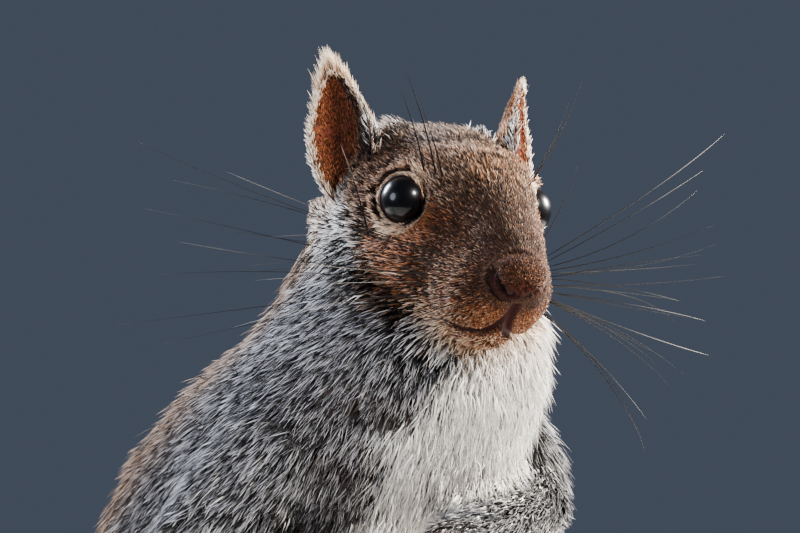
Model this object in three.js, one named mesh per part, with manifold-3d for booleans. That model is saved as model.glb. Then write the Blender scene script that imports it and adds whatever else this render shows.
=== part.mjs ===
// A grey squirrel (Sciurus carolinensis) sitting up on its haunches, life size, in its full winter coat.
// Millimetres, +Z up. The body faces -Y with its left side at +X, and the origin is the flat under its rump.
// Every solid reaches out to the tips of the coat. The head is made in its own frame, whose origin lies
// midway between the eyes, and is then turned and tipped on the neck.
import * as THREE from "three";
import { mergeVertices } from "three/addons/utils/BufferGeometryUtils.js";
import Module from "manifold-3d";

const wasm = await Module();
wasm.setup();
const { degToRad, lerp, smoothstep } = THREE.MathUtils;

// ---- Driving dimensions -------------------------------------------------------------------------

const GAP = 0.3; // clear space between two pieces that meet
const EYE_LEVEL = 175; // height of the eyes above the floor
const HEAD = {
  at: [-8, -88, EYE_LEVEL], // midway between the eyes
  turn: -28.9, // degrees about the upright axis, towards the animal's right
  tip: 11.8, // degrees, nose down
  lean: 5.9, // degrees, crown towards the animal's left
};
const EYE = { apart: 28, radius: 5.4, forward: -2.2 };
const NOSE = { forward: 30.8, low: 8.0, size: [5.6, 3.8, 4.7] };
const NOSTRIL = { apart: 7.4, size: [0.8, 2.2, 1.6], turn: 38 };
const MOUTH = { front: 0.07, corner: 0.4, deep: 0.9, open: 0.45, sweep: 48 };
const EAR = {
  root: [17.6, 17.5, -2], // sideways, back and up from the middle of the eyes
  tip: [23.2, 34.2, 23],
  halfWidth: 10.6,
  thickness: 1.7,
  facing: 46, // degrees from straight ahead to where the cup opens
};
const TAIL = { length: 225, half: 31, height: 27, bend: 62 };
const TOE = { radius: 1.75, claw: 4.6 };
const FINGER = { radius: 1.45, claw: 3.4 };

// The trunk as level sections from the seat to the nape: height, middle (x, y), half width, half depth.
const TRUNK = [
  { z: 5, x: 0, y: 10, half: 24, deep: 24 },
  { z: 14, x: 0, y: 7, half: 33, deep: 32 },
  { z: 28, x: 0, y: 2, half: 39, deep: 39 },
  { z: 48, x: 0, y: -8, half: 42, deep: 43 },
  { z: 70, x: 0, y: -19, half: 43.5, deep: 44 },
  { z: 92, x: 0, y: -29, half: 43, deep: 43.5 },
  { z: 107, x: 0, y: -35.5, half: 42, deep: 43 },
  { z: 120, x: 0, y: -43, half: 40, deep: 44 },
  { z: 135, x: -1, y: -55, half: 37, deep: 40.5 },
  { z: 149, x: -2, y: -65, half: 30.5, deep: 32 },
  { z: 158, x: -1, y: -65, half: 26, deep: 26.5 },
  { z: 167, x: 0, y: -63, half: 22, deep: 21 },
  { z: 174, x: 1, y: -61, half: 19.5, deep: 18.5 },
];
const NECK_CUT = { at: [0, -50, 141], normal: [0, -0.35, 0.94] };
const WAIST_CUT = { at: [0, -28, 86], normal: [0, -0.3, 0.95] };

// Egg-shaped sections of the head from the nose back to the nape: `f` is forward of the eyes, `top` and
// `bottom` lie on the profile, `wide` is the height where the section is widest and `half` half its width.
const HEAD_SECTIONS = [
  { f: 32, top: -5.2, bottom: -12.8, wide: -9, half: 4 },
  { f: 30.8, top: -3.2, bottom: -14.6, wide: -9.4, half: 5.5 },
  { f: 28.6, top: -1.4, bottom: -17.4, wide: -10, half: 7 },
  { f: 24.6, top: 1.2, bottom: -22, wide: -11.4, half: 9.1 },
  { f: 19, top: 4.8, bottom: -26.4, wide: -12, half: 11.2 },
  { f: 12, top: 9, bottom: -28.6, wide: -11.5, half: 13.6 },
  { f: 4, top: 12.4, bottom: -30, wide: -11, half: 17 },
  { f: -4, top: 14.2, bottom: -31, wide: -11, half: 20 },
  { f: -12, top: 14.7, bottom: -31, wide: -10, half: 22 },
  { f: -20, top: 13.9, bottom: -29, wide: -8, half: 22 },
  { f: -27, top: 12, bottom: -25, wide: -7, half: 19.5 },
  { f: -33, top: 6, bottom: -18, wide: -6, half: 14 },
];
// Rises and hollows of the face, each on both sides: where (sideways, forward, up), how wide, how far out.
const HEAD_FORMS = {
  eyeHollow: { at: [17.2, -2, 0], size: 5.4, out: -3.0 },
  brow: { at: [13.5, -1, 7.5], size: 4.5, out: 1.7 },
  muzzleSide: { at: [9.5, 14, -1], size: 6, out: -1.3 },
  whiskerPad: { at: [9, 22, -12.5], size: 5, out: 1.3 },
  cheek: { at: [20, -9, -16], size: 8, out: 1.4 },
  underEye: { at: [16, 6, -9], size: 4.5, out: 0.5 },
};

// Limbs as stations of their middle line with half widths `side`, reaches `up` and `down`.
const UPPER_ARM_LEFT = [
  { at: [28, -60, 127], side: 14, up: 15 },
  { at: [30, -68, 118], side: 12, up: 13 },
  { at: [29, -75, 111], side: 10, up: 10 },
];
const FOREARM_LEFT = [
  { at: [27, -78, 110], side: 9.2, up: 8.8 },
  { at: [4, -85.5, 107], side: 9, up: 8.2 },
  { at: [-17, -88, 103.5], side: 6.2, up: 5.8 },
];
const UPPER_ARM_RIGHT = [
  { at: [-28, -56, 126], side: 14, up: 15 },
  { at: [-37, -47, 112], side: 12, up: 12.5 },
  { at: [-43.5, -39, 100], side: 10, up: 10 },
];
const FOREARM_RIGHT = [
  { at: [-44.5, -36, 97], side: 9, up: 8.8 },
  { at: [-40.5, -55, 98.5], side: 8.4, up: 8.2 },
  { at: [-34, -72, 99], side: 6, up: 5.6 },
];
const THIGH = [
  { at: [23, 2, 42], side: 23, up: 30 },
  { at: [33, -20, 41], side: 23, up: 33, down: 31 },
  { at: [38, -42, 40], side: 18.5, up: 27, down: 24 },
];
const SHANK = [
  { at: [41, -48, 30], side: 12.5, up: 15 },
  { at: [39, -33, 19], side: 11, up: 12.5 },
  { at: [36.5, -18, 10], side: 8, up: 8.5 },
];
const FOOT = [
  { at: [36, -16, 8], side: 6.6, up: 7.2 },
  { at: [37.5, -34, 6], side: 7, up: 6.4 },
  { at: [40, -50, 4.6], side: 7.8, up: 5.2 },
  { at: [41, -60, 4], side: 8.2, up: 4.2 },
];

// ---- Solids and cuts ----------------------------------------------------------------------------

const vector = (at) => new THREE.Vector3(...at);
const middleOf = (ring) => ring.reduce((sum, p) => sum.add(p), new THREE.Vector3()).divideScalar(ring.length);

// A closed surface over a row of rings with equally many points, each end closed to its own middle.
function skinOver(rings) {
  const around = rings[0].length;
  const points = [...rings.flat(), middleOf(rings[0]), middleOf(rings.at(-1))];
  const firstPole = points.length - 2;
  const lastRing = (rings.length - 1) * around;
  const faces = [];
  for (let i = 0; i < around; i++) {
    const j = (i + 1) % around;
    faces.push(firstPole, j, i);
    for (let a = 0; a < lastRing; a += around) {
      const b = a + around;
      faces.push(a + i, a + j, b + j, a + i, b + j, b + i);
    }
    faces.push(firstPole + 1, lastRing + i, lastRing + j);
  }
  const geometry = new THREE.BufferGeometry().setFromPoints(points).setIndex(faces);
  if (volumeOf(geometry) < 0) faces.reverse();
  return geometry.setIndex(faces);
}

function volumeOf(geometry) {
  const corner = (i) => new THREE.Vector3().fromBufferAttribute(geometry.attributes.position, i);
  const index = geometry.index.array;
  let six = 0;
  for (let i = 0; i < index.length; i += 3)
    six += corner(index[i]).dot(corner(index[i + 1]).cross(corner(index[i + 2])));
  return six / 6;
}

function solidOf(geometry) {
  const bare = geometry.clone();
  bare.deleteAttribute("normal");
  bare.deleteAttribute("uv");
  const merged = mergeVertices(bare, 1e-4);
  const vertProperties = merged.attributes.position.array;
  const triVerts = new Uint32Array(merged.index.array);
  return new wasm.Manifold(new wasm.Mesh({ numProp: 3, vertProperties, triVerts }));
}

// The largest body of a solid, as a geometry: a cut can leave crumbs beside it.
function geometryOf(solid) {
  const body = solid.decompose().sort((a, b) => b.volume() - a.volume())[0];
  const mesh = body.getMesh();
  const geometry = new THREE.BufferGeometry();
  geometry.setAttribute("position", new THREE.BufferAttribute(mesh.vertProperties, 3));
  geometry.setIndex(new THREE.BufferAttribute(mesh.triVerts, 1));
  geometry.computeVertexNormals();
  return geometry;
}

const without = (solid, ...cutters) => cutters.reduce((left, cutter) => left.subtract(cutter), solid);
const joined = (...solids) => solids.reduce((all, solid) => all.add(solid));

// Everything past a plane, as a block that starts `early` millimetres before it.
function beyond({ at, normal }, early = 0) {
  const size = 600;
  const block = new THREE.BoxGeometry(size, size, size);
  const way = vector(normal).normalize();
  const turn = new THREE.Quaternion().setFromUnitVectors(new THREE.Vector3(0, 0, 1), way);
  const middle = vector(at).addScaledVector(way, size / 2 - early);
  return solidOf(block.applyMatrix4(new THREE.Matrix4().compose(middle, turn, new THREE.Vector3(1, 1, 1))));
}

const floor = beyond({ at: [0, 0, 0], normal: [0, 0, -1] });
const above = (cut) => beyond(cut, GAP / 2);
const below = ({ at, normal }) => beyond({ at, normal: normal.map((n) => -n) }, GAP / 2);

// ---- Lofts --------------------------------------------------------------------------------------

const curveThrough = (points) => new THREE.CatmullRomCurve3(points, false, "catmullrom");

// The rings that close a dome, from its rim to near its top: a share of the size and one of the reach.
const domeRings = (count) =>
  Array.from({ length: count }, (_, k) => (Math.PI / 2) * ((k + 0.9) / (count + 0.4))).map((a) => [
    Math.cos(a),
    Math.sin(a),
  ]);

// A body of oval sections across a smooth line through a few stations. Each station gives the middle of
// its section, half its width along `sideways` and its reach above and below. Both ends are domed.
function loft({ stations, sideways = [1, 0, 0], perSpan = 1, around = 10, grow = 0, dome = 0.7, caps = 2 }) {
  const line = curveThrough(stations.map((s) => vector(s.at)));
  const sizes = curveThrough(stations.map((s) => new THREE.Vector3(s.side, s.up, s.down ?? s.up)));
  const ringAt = (t, share = 1, reach = 0) => {
    const along = line.getTangent(t);
    const side = vector(sideways).addScaledVector(along, -along.dot(vector(sideways))).normalize();
    const up = new THREE.Vector3().crossVectors(side, along).normalize();
    const size = sizes.getPoint(t).addScalar(grow);
    const domed = dome * Math.min(size.x, (size.y + size.z) / 2);
    const middle = line.getPoint(t).addScaledVector(along, reach * domed);
    return Array.from({ length: around }, (_, k) => {
      const angle = (2 * Math.PI * k) / around;
      const tall = Math.sin(angle) > 0 ? size.y : size.z;
      return middle
        .clone()
        .addScaledVector(side, size.x * share * Math.cos(angle))
        .addScaledVector(up, tall * share * Math.sin(angle));
    });
  };
  const count = (stations.length - 1) * perSpan;
  const rings = domeRings(caps).toReversed().map(([share, reach]) => ringAt(0, share, -reach));
  for (let i = 0; i <= count; i++) rings.push(ringAt(i / count));
  rings.push(...domeRings(caps).map(([share, reach]) => ringAt(1, share, reach)));
  return solidOf(skinOver(rings));
}

// A body of level oval sections, one above another, flat underneath and domed on top.
function stack(sections, { perSpan = 1, around = 24, dome = 5 } = {}) {
  const middles = curveThrough(sections.map((s) => new THREE.Vector3(s.x, s.y, s.z)));
  const sizes = curveThrough(sections.map((s) => new THREE.Vector3(s.half, s.deep, 0)));
  const ringAt = (t, share = 1, lift = 0) => {
    const middle = middles.getPoint(t);
    const size = sizes.getPoint(t).multiplyScalar(share);
    return Array.from({ length: around }, (_, k) => {
      const angle = (2 * Math.PI * k) / around;
      const point = new THREE.Vector3(size.x * Math.cos(angle), size.y * Math.sin(angle), lift);
      return point.add(middle);
    });
  };
  const count = (sections.length - 1) * perSpan;
  const rings = [ringAt(0, 0.8, -0.75 * sections[0].z), ringAt(0, 0.7, -sections[0].z)].toReversed();
  for (let i = 0; i <= count; i++) rings.push(ringAt(i / count));
  rings.push(...domeRings(2).map(([share, reach]) => ringAt(1, share, reach * dome)));
  return solidOf(skinOver(rings));
}

function ball(size, at, { turn = [0, 0, 0], detail = 10 } = {}) {
  const geometry = new THREE.SphereGeometry(1, detail, Math.round(detail * 0.6)).scale(...size);
  geometry.rotateY(turn[1]).rotateZ(turn[2]).translate(...at);
  return solidOf(geometry);
}

// ---- Head ---------------------------------------------------------------------------------------

const headProfile = curveThrough(HEAD_SECTIONS.map((s) => new THREE.Vector3(s.f, s.top, s.bottom)));
const headWidth = curveThrough(HEAD_SECTIONS.map((s) => new THREE.Vector3(s.wide, s.half, 0)));

// A point of the head's surface: t runs from nose to nape, angle from the left side over the crown.
function headPoint(t, angle, grow = 0) {
  const { x: forward, y: top, z: bottom } = headProfile.getPoint(t);
  const { x: wide, y: half } = headWidth.getPoint(t);
  const sine = Math.sin(angle);
  const reach = sine > 0 ? top - wide : wide - bottom;
  const out = new THREE.Vector3(Math.cos(angle), 0, sine);
  const point = new THREE.Vector3(out.x * (half + grow), -forward, wide + sine * (reach + grow));
  for (const { at, size, out: push } of Object.values(HEAD_FORMS)) {
    const away = Math.hypot(Math.abs(point.x) - at[0], -point.y - at[1], point.z - at[2]) / size;
    point.addScaledVector(out, push * Math.exp(-away * away));
  }
  return point;
}

function headSolid(grow = 0, around = 24, steps = 16) {
  const ringAt = (t, share = 1, shift = 0) => {
    const ring = Array.from({ length: around }, (_, k) => headPoint(t, (2 * Math.PI * k) / around, grow));
    const middle = middleOf(ring);
    return ring.map((p) => p.sub(middle).multiplyScalar(share).add(middle).add(new THREE.Vector3(0, shift, 0)));
  };
  const rings = [ringAt(0, 0.6, -1 - grow)];
  for (let i = 0; i <= steps; i++) rings.push(ringAt(i / steps));
  rings.push(ringAt(1, 0.75, 3.5 + grow), ringAt(1, 0.4, 5.5 + grow));
  return solidOf(skinOver(rings));
}

// The slit between the lips on one side: back from under the nose, along the muzzle to the corner.
function mouthSlit(side) {
  const steps = 5;
  const line = [];
  for (let k = 0; k <= steps; k++) {
    const share = k / steps;
    const angle = degToRad(-90 + MOUTH.sweep * share ** 0.75);
    line.push(headPoint(lerp(MOUTH.front, MOUTH.corner, share), angle).multiply(new THREE.Vector3(side, 1, 1)));
  }
  const blade = new THREE.Shape();
  blade.moveTo(MOUTH.deep, 0).lineTo(0, MOUTH.open).lineTo(-MOUTH.deep, 0).lineTo(0, -MOUTH.open).closePath();
  return solidOf(new THREE.ExtrudeGeometry(blade, { steps, extrudePath: curveThrough(line), bevelEnabled: false }));
}

const eyeBall = (side, grow = 0) => {
  const radius = EYE.radius + grow;
  return ball([radius, radius, radius], [(side * EYE.apart) / 2, -EYE.forward, 0], { detail: 14 });
};

const nosePad = (grow = 0) => ball(NOSE.size.map((s) => s + grow), [0, -NOSE.forward, -NOSE.low]);

function nostril(side) {
  const turn = [0, side * -0.55, side * degToRad(NOSTRIL.turn)];
  return ball(NOSTRIL.size, [(side * NOSTRIL.apart) / 2, -NOSE.forward - 2, -NOSE.low - 0.5], { turn, detail: 6 });
}

// The pinna: a pointed leaf, cupped across its width, as a thin shell with rounded edges.
function pinna(side, grow = 0, rows = 8, columns = 5) {
  const root = vector(EAR.root);
  const axis = vector(EAR.tip).sub(root);
  const facing = degToRad(EAR.facing);
  const opening = new THREE.Vector3(Math.sin(facing), -Math.cos(facing), 0);
  opening.addScaledVector(axis, -opening.dot(axis) / axis.lengthSq()).normalize();
  const across = new THREE.Vector3().crossVectors(axis, opening).normalize();
  const swell = 1.5 * grow;
  const rings = [];
  for (let i = 0; i <= rows; i++) {
    const h = i / rows;
    const leaf = (1 - 0.998 * h * h) ** 0.75 * (0.5 + 1.15 * h * (1 - 0.55 * h));
    const curl = degToRad(lerp(88, 42, h));
    const bow = (EAR.halfWidth * leaf) / Math.sin(curl);
    const thick = (EAR.thickness / 2) * (1 - 0.45 * h) + swell;
    const ring = [];
    for (let k = 0; k < 2 * columns; k++) {
      const inner = k >= columns;
      const a = inner ? 3 - (2 * k) / columns : -1 + (2 * k) / columns;
      const bend = a * (curl + swell / bow);
      const edge = Math.sqrt(1 - a * a) * thick * (inner ? 1 : -1);
      const point = root.clone().addScaledVector(axis, h * (1.1 + 0.04 * grow) - 0.1 - 0.02 * grow);
      point.addScaledVector(across, (bow - edge) * Math.sin(bend));
      point.addScaledVector(opening, bow - (bow - edge) * Math.cos(bend) - 0.35 * bow);
      ring.push(point.multiply(new THREE.Vector3(side, 1, 1)));
    }
    rings.push(ring);
  }
  return solidOf(skinOver(rings));
}

// ---- Limbs, paws and tail -----------------------------------------------------------------------

const otherSide = ([x, y, z]) => [-x, y, z];
const mirrored = (stations) => stations.map((s) => ({ ...s, at: otherSide(s.at) }));

// A digit that arches from its knuckle to its tip, and the claw beyond it.
function digit({ from, to, radius, arch = 0.3 }, grow = 0) {
  const middle = vector(from).lerp(vector(to), 0.5).add(new THREE.Vector3(0, 0, arch * radius));
  const stations = [
    { at: from, side: radius, up: radius },
    { at: middle.toArray(), side: radius * 0.95, up: radius * 0.95 },
    { at: to, side: radius * 0.85, up: radius * 0.85 },
  ];
  const sideways = new THREE.Vector3(0, 0, 1).cross(vector(to).sub(vector(from))).normalize().toArray();
  return loft({ stations, sideways, around: 6, grow, dome: 0.8, caps: 1 });
}

function claw({ from, to, radius, length }) {
  const way = vector(to).sub(vector(from)).normalize();
  const clear = 0.68 * radius + GAP;
  const point = (share, drop) =>
    vector(to).addScaledVector(way, clear + share * length).add(new THREE.Vector3(0, 0, drop)).toArray();
  const stations = [
    { at: point(0.1, 0.3 * radius), side: radius * 0.36, up: radius * 0.45 },
    { at: point(0.5, 0.22 * radius), side: radius * 0.32, up: radius * 0.4 },
    { at: point(0.92, -0.25 * radius), side: 0.28, up: 0.28 },
  ];
  const sideways = new THREE.Vector3(0, 0, 1).cross(way).normalize().toArray();
  return loft({ stations, sideways, around: 5, dome: 0.3, caps: 1 });
}

// Five toes fanned across the front of the left hind foot; the middle three reach furthest.
function toes() {
  const spread = [-2, -1, 0, 1, 2];
  return spread.map((k) => {
    const from = [40.8 + 3.0 * k, -58 + 1.5 * Math.abs(k), 4.0];
    const to = [41.6 + 4.1 * k, -73 + 2.2 * k * k + 0.6 * k, 2.3];
    return { from, to, radius: TOE.radius, length: TOE.claw };
  });
}

// Four fingers from the end of a hand, spread about the way it points.
function fingers(wrist, knuckles, tips) {
  const way = vector(tips).sub(vector(knuckles));
  const side = new THREE.Vector3(0, 0, 1).cross(way).normalize();
  return [-1.5, -0.5, 0.5, 1.5].map((k) => ({
    from: vector(knuckles).addScaledVector(side, 2.3 * k).toArray(),
    to: vector(tips).addScaledVector(side, 3.1 * k).addScaledVector(way, -0.06 * k * k).toArray(),
    radius: FINGER.radius,
    length: FINGER.claw,
  }));
}

const HANDS = {
  left: { wrist: [-17.5, -88.3, 103], knuckles: [-25.5, -89.5, 101], tips: [-34, -87, 96] },
  right: { wrist: [-34, -73, 98], knuckles: [-30, -78.5, 92.5], tips: [-22.5, -85.5, 84.5] },
};

function palm({ wrist, knuckles }, grow = 0) {
  const middle = vector(wrist).lerp(vector(knuckles), 0.55).toArray();
  const stations = [
    { at: wrist, side: 4.6, up: 4.2 },
    { at: middle, side: 5.2, up: 3.9 },
    { at: knuckles, side: 5, up: 3 },
  ];
  const sideways = new THREE.Vector3(0, 0, 1).cross(vector(knuckles).sub(vector(wrist))).normalize().toArray();
  return loft({ stations, sideways, around: 8, grow });
}

// The brush of the tail, laid on the floor behind the animal in one long easy bend.
function tailBrush(grow = 0) {
  const count = 9;
  const stations = [];
  const at = new THREE.Vector3(0, 27, 17);
  for (let k = 0; k < count; k++) {
    const t = k / (count - 1);
    const full = Math.sin(Math.PI * (0.15 + 0.79 * t)) ** 0.7;
    const tall = (TAIL.height / 2) * (0.55 + 0.45 * full) * (1 - 0.35 * t ** 3);
    at.z = Math.max(tall - 1.2, lerp(17, 0, 4 * t));
    stations.push({ at: at.toArray(), side: lerp(11, TAIL.half, full), up: tall });
    const heading = degToRad(TAIL.bend * (t * t - 0.1));
    at.add(new THREE.Vector3(Math.sin(heading), Math.cos(heading), 0).multiplyScalar(TAIL.length / (count - 1)));
  }
  return loft({ stations, around: 16, grow, dome: 0.9 });
}

// ---- The whole animal ---------------------------------------------------------------------------

const COLOURS = {
  grey: { color: 0x8b8078, roughness: 0.95, metalness: 0 },
  white: { color: 0xd8d0c4, roughness: 0.95, metalness: 0 },
  tail: { color: 0x7c746c, roughness: 0.95, metalness: 0 },
  ear: { color: 0xa87a58, roughness: 0.9, metalness: 0 },
  nose: { color: 0x5a3026, roughness: 0.6, metalness: 0 },
  eye: { color: 0x0c0a10, roughness: 0.08, metalness: 0 },
  claw: { color: 0x2c2420, roughness: 0.4, metalness: 0 },
};

const squirrel = new THREE.Group();
const head = new THREE.Group();
head.position.set(...HEAD.at);
head.rotation.set(degToRad(HEAD.tip), degToRad(HEAD.lean), degToRad(HEAD.turn), "ZXY");
squirrel.add(head);
squirrel.updateMatrixWorld(true);
const inBody = (solid) => solid.transform(head.matrixWorld.elements);

function place(name, solid, colour, group = squirrel) {
  const mesh = new THREE.Mesh(geometryOf(solid), new THREE.MeshStandardMaterial(COLOURS[colour]));
  mesh.name = name;
  group.add(mesh);
}

const SIDES = { right: -1, left: 1 };
const sides = Object.values(SIDES);

const faceCuts = sides.flatMap((s) => [eyeBall(s, GAP), pinna(s, GAP), mouthSlit(s)]);
place("head", without(headSolid(), nosePad(GAP), ...faceCuts), "grey", head);
place("nose", without(nosePad(), ...sides.map(nostril)), "nose", head);
for (const [name, s] of Object.entries(SIDES)) {
  place("eye_" + name, eyeBall(s), "eye", head);
  place("ear_" + name, pinna(s), "ear", head);
}

const bodyCuts = [inBody(headSolid(GAP)), ...sides.map((s) => inBody(pinna(s, GAP))), tailBrush(GAP), floor];

for (const [name, s] of Object.entries(SIDES)) {
  const own = (stations) => (s > 0 ? stations : mirrored(stations));
  const hand = HANDS[name];
  const upperArm = { stations: s > 0 ? UPPER_ARM_LEFT : UPPER_ARM_RIGHT };
  const forearm = { stations: s > 0 ? FOREARM_LEFT : FOREARM_RIGHT, sideways: [0, 0, 1] };
  const thigh = { stations: own(THIGH), perSpan: 2, around: 14, dome: 0.9 };
  const shank = { stations: own(SHANK) };
  const foot = { stations: own(FOOT) };
  const wide = (shape) => loft({ ...shape, grow: GAP });
  const handFingers = fingers(hand.wrist, hand.knuckles, hand.tips);
  const handSolid = (grow) => joined(palm(hand, grow), ...handFingers.map((f) => digit(f, grow)));
  const footToes = toes().map((t) => (s > 0 ? t : { ...t, from: otherSide(t.from), to: otherSide(t.to) }));
  const footSolid = (grow) => joined(loft({ ...foot, grow }), ...footToes.map((t) => digit(t, grow)));
  place("upper_arm_" + name, without(loft(upperArm), wide(forearm)), "grey");
  place("forearm_" + name, without(loft(forearm), handSolid(GAP)), "grey");
  place("hand_" + name, handSolid(0), "grey");
  place("thigh_" + name, without(loft(thigh), wide(shank), footSolid(GAP)), "grey");
  place("shank_" + name, without(loft(shank), footSolid(GAP), floor), "grey");
  place("foot_" + name, without(footSolid(0), floor), "grey");
  handFingers.forEach((f, k) => place(`finger_claw_${name}_${k + 1}`, claw(f), "claw"));
  footToes.forEach((t, k) => place(`toe_claw_${name}_${k + 1}`, claw(t), "claw"));
  bodyCuts.push(wide(upperArm), wide(forearm), wide(thigh), wide(shank), footSolid(GAP), handSolid(GAP));
}

const trunk = without(stack(TRUNK), ...bodyCuts);
place("neck", without(trunk, below(NECK_CUT)), "grey");
place("chest", without(trunk, above(NECK_CUT), below(WAIST_CUT)), "white");
place("abdomen", without(trunk, above(WAIST_CUT)), "white");

const tail = without(tailBrush(), floor);
const [nearCut, farCut] = [98, 174].map((y) => ({ at: [0, y, 0], normal: [0, 1, 0] }));
place("tail_root", without(tail, above(nearCut)), "tail");
place("tail_middle", without(tail, below(nearCut), above(farCut)), "tail");
place("tail_tip", without(tail, below(farCut)), "tail");

export default squirrel;
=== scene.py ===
# %% [markdown]
# # A grey squirrel, from its packed solids to its coat
# This lesson dresses a life-size grey squirrel that sits up on its haunches. The packed solids give the
# outline of the animal out to the tips of its coat. Under that outline the lesson makes one skin, sets the
# eyes, nose and claws in it, and then grows the coat as many small closed tufts of mesh that lie along the
# body.

# %% Load the solids
import math

import bmesh
import bpy
import numpy as np
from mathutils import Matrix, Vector, kdtree


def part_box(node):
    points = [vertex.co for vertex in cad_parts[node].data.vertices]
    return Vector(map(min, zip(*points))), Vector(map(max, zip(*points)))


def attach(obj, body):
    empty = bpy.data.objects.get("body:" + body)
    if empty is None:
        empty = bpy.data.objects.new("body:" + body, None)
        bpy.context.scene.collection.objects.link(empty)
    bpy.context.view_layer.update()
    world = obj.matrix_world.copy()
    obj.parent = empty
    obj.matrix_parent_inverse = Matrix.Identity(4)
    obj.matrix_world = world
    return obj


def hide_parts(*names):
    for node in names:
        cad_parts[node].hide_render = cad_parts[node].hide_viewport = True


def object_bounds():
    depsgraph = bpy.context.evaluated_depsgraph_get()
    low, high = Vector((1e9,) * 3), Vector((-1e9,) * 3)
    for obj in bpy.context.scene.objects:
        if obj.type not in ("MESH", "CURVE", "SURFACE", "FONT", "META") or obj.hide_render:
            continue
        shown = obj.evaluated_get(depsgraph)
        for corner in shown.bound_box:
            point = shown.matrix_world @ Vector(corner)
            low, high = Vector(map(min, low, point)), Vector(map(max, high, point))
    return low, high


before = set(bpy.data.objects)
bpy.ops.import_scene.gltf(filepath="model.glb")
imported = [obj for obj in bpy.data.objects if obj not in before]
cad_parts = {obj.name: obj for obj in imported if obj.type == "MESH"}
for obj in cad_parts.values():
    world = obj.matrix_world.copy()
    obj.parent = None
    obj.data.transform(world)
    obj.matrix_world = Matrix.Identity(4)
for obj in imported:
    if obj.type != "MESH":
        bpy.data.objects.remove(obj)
cad_box = [list(corner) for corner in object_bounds()]
MM = 0.001
rng = np.random.default_rng(7)
print("solids:", len(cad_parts), "box:", [[round(v, 3) for v in c] for c in cad_box])

# %% [markdown]
# The head is turned and tipped on the neck, so nearly everything on the face is easier to say in the head's
# own directions. They are found from the solids: the line between the eyes is the head's left, and the nose
# pad lies forward of the eyes and a little below them. Positions in these directions are in millimetres.

# %% The head's own directions
def middle(node):
    low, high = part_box(node)
    return (np.array(low) + np.array(high)) / 2


def unit(v):
    return v / (np.linalg.norm(v, axis=-1, keepdims=True) + 1e-12)


NOSE_AHEAD, NOSE_BELOW = 33.0, 8.0
EYE_BACK = 2.2
eye_middle = {side: middle("eye_" + side) for side in ("left", "right")}
between = (eye_middle["left"] + eye_middle["right"]) / 2
LEFT = unit(eye_middle["left"] - eye_middle["right"])
to_nose = middle("nose") - between
flat = unit(to_nose - (to_nose @ LEFT) * LEFT)
tip = math.atan2(NOSE_BELOW, NOSE_AHEAD)
AHEAD = unit(math.cos(tip) * flat + math.sin(tip) * np.cross(flat, LEFT))
CROWN = np.cross(AHEAD, LEFT)
HEAD_ORIGIN = between + EYE_BACK * MM * AHEAD
HEAD_AXES = np.stack([AHEAD, LEFT, CROWN], axis=1)


def in_head(points):
    """Forward, left and up of the middle of the eyes, in millimetres."""
    return (np.asarray(points) - HEAD_ORIGIN) @ HEAD_AXES / MM


def from_head(ahead, left, up):
    return HEAD_ORIGIN + HEAD_AXES @ (np.array([ahead, left, up]) * MM)


eyes_apart = np.ptp([in_head(e)[1] for e in eye_middle.values()])
print("head looks along", AHEAD.round(2), "and the eyes are", round(eyes_apart, 1), "mm apart")

# %% [markdown]
# A long lens far away flattens the face the way a wildlife portrait does. The camera stands to the animal's
# right and a little above its chest, and frames the head and chest alone.

# %% Camera
def add_object(name, data):
    made = bpy.data.objects.new(name, data)
    bpy.context.scene.collection.objects.link(made)
    return made


VIEW_AZIMUTH, VIEW_HEIGHT = math.radians(-52), math.radians(4)
CAMERA_AWAY = 1.6
FRAME_WIDTH = 0.168
AIM_RIGHT, AIM_UP = -14.75 * MM, -12.35 * MM
SENSOR = 36.0

back = np.array([
    math.sin(VIEW_AZIMUTH) * math.cos(VIEW_HEIGHT),
    -math.cos(VIEW_AZIMUTH) * math.cos(VIEW_HEIGHT),
    math.sin(VIEW_HEIGHT),
])
right = np.array([math.cos(VIEW_AZIMUTH), math.sin(VIEW_AZIMUTH), 0.0])
upward = np.cross(back, right)
aim = HEAD_ORIGIN + AIM_RIGHT * right + AIM_UP * upward

camera_data = bpy.data.cameras.new("camera")
camera_data.sensor_width = SENSOR
camera_data.lens = SENSOR * CAMERA_AWAY / FRAME_WIDTH
camera_data.clip_start = 0.05
camera_data.clip_end = 20
camera = add_object("camera", camera_data)
camera.location = Vector(aim + back * CAMERA_AWAY)
camera.rotation_euler = Vector(-back).to_track_quat("-Z", "Y").to_euler()
bpy.context.scene.camera = camera
print("lens", round(camera_data.lens), "mm")

# %% [markdown]
# Materials are written as short expressions. A small class wraps one socket of a material's tree, so that
# sums and products of sockets become nodes, and ramps, blends and noise take one call each.

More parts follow.
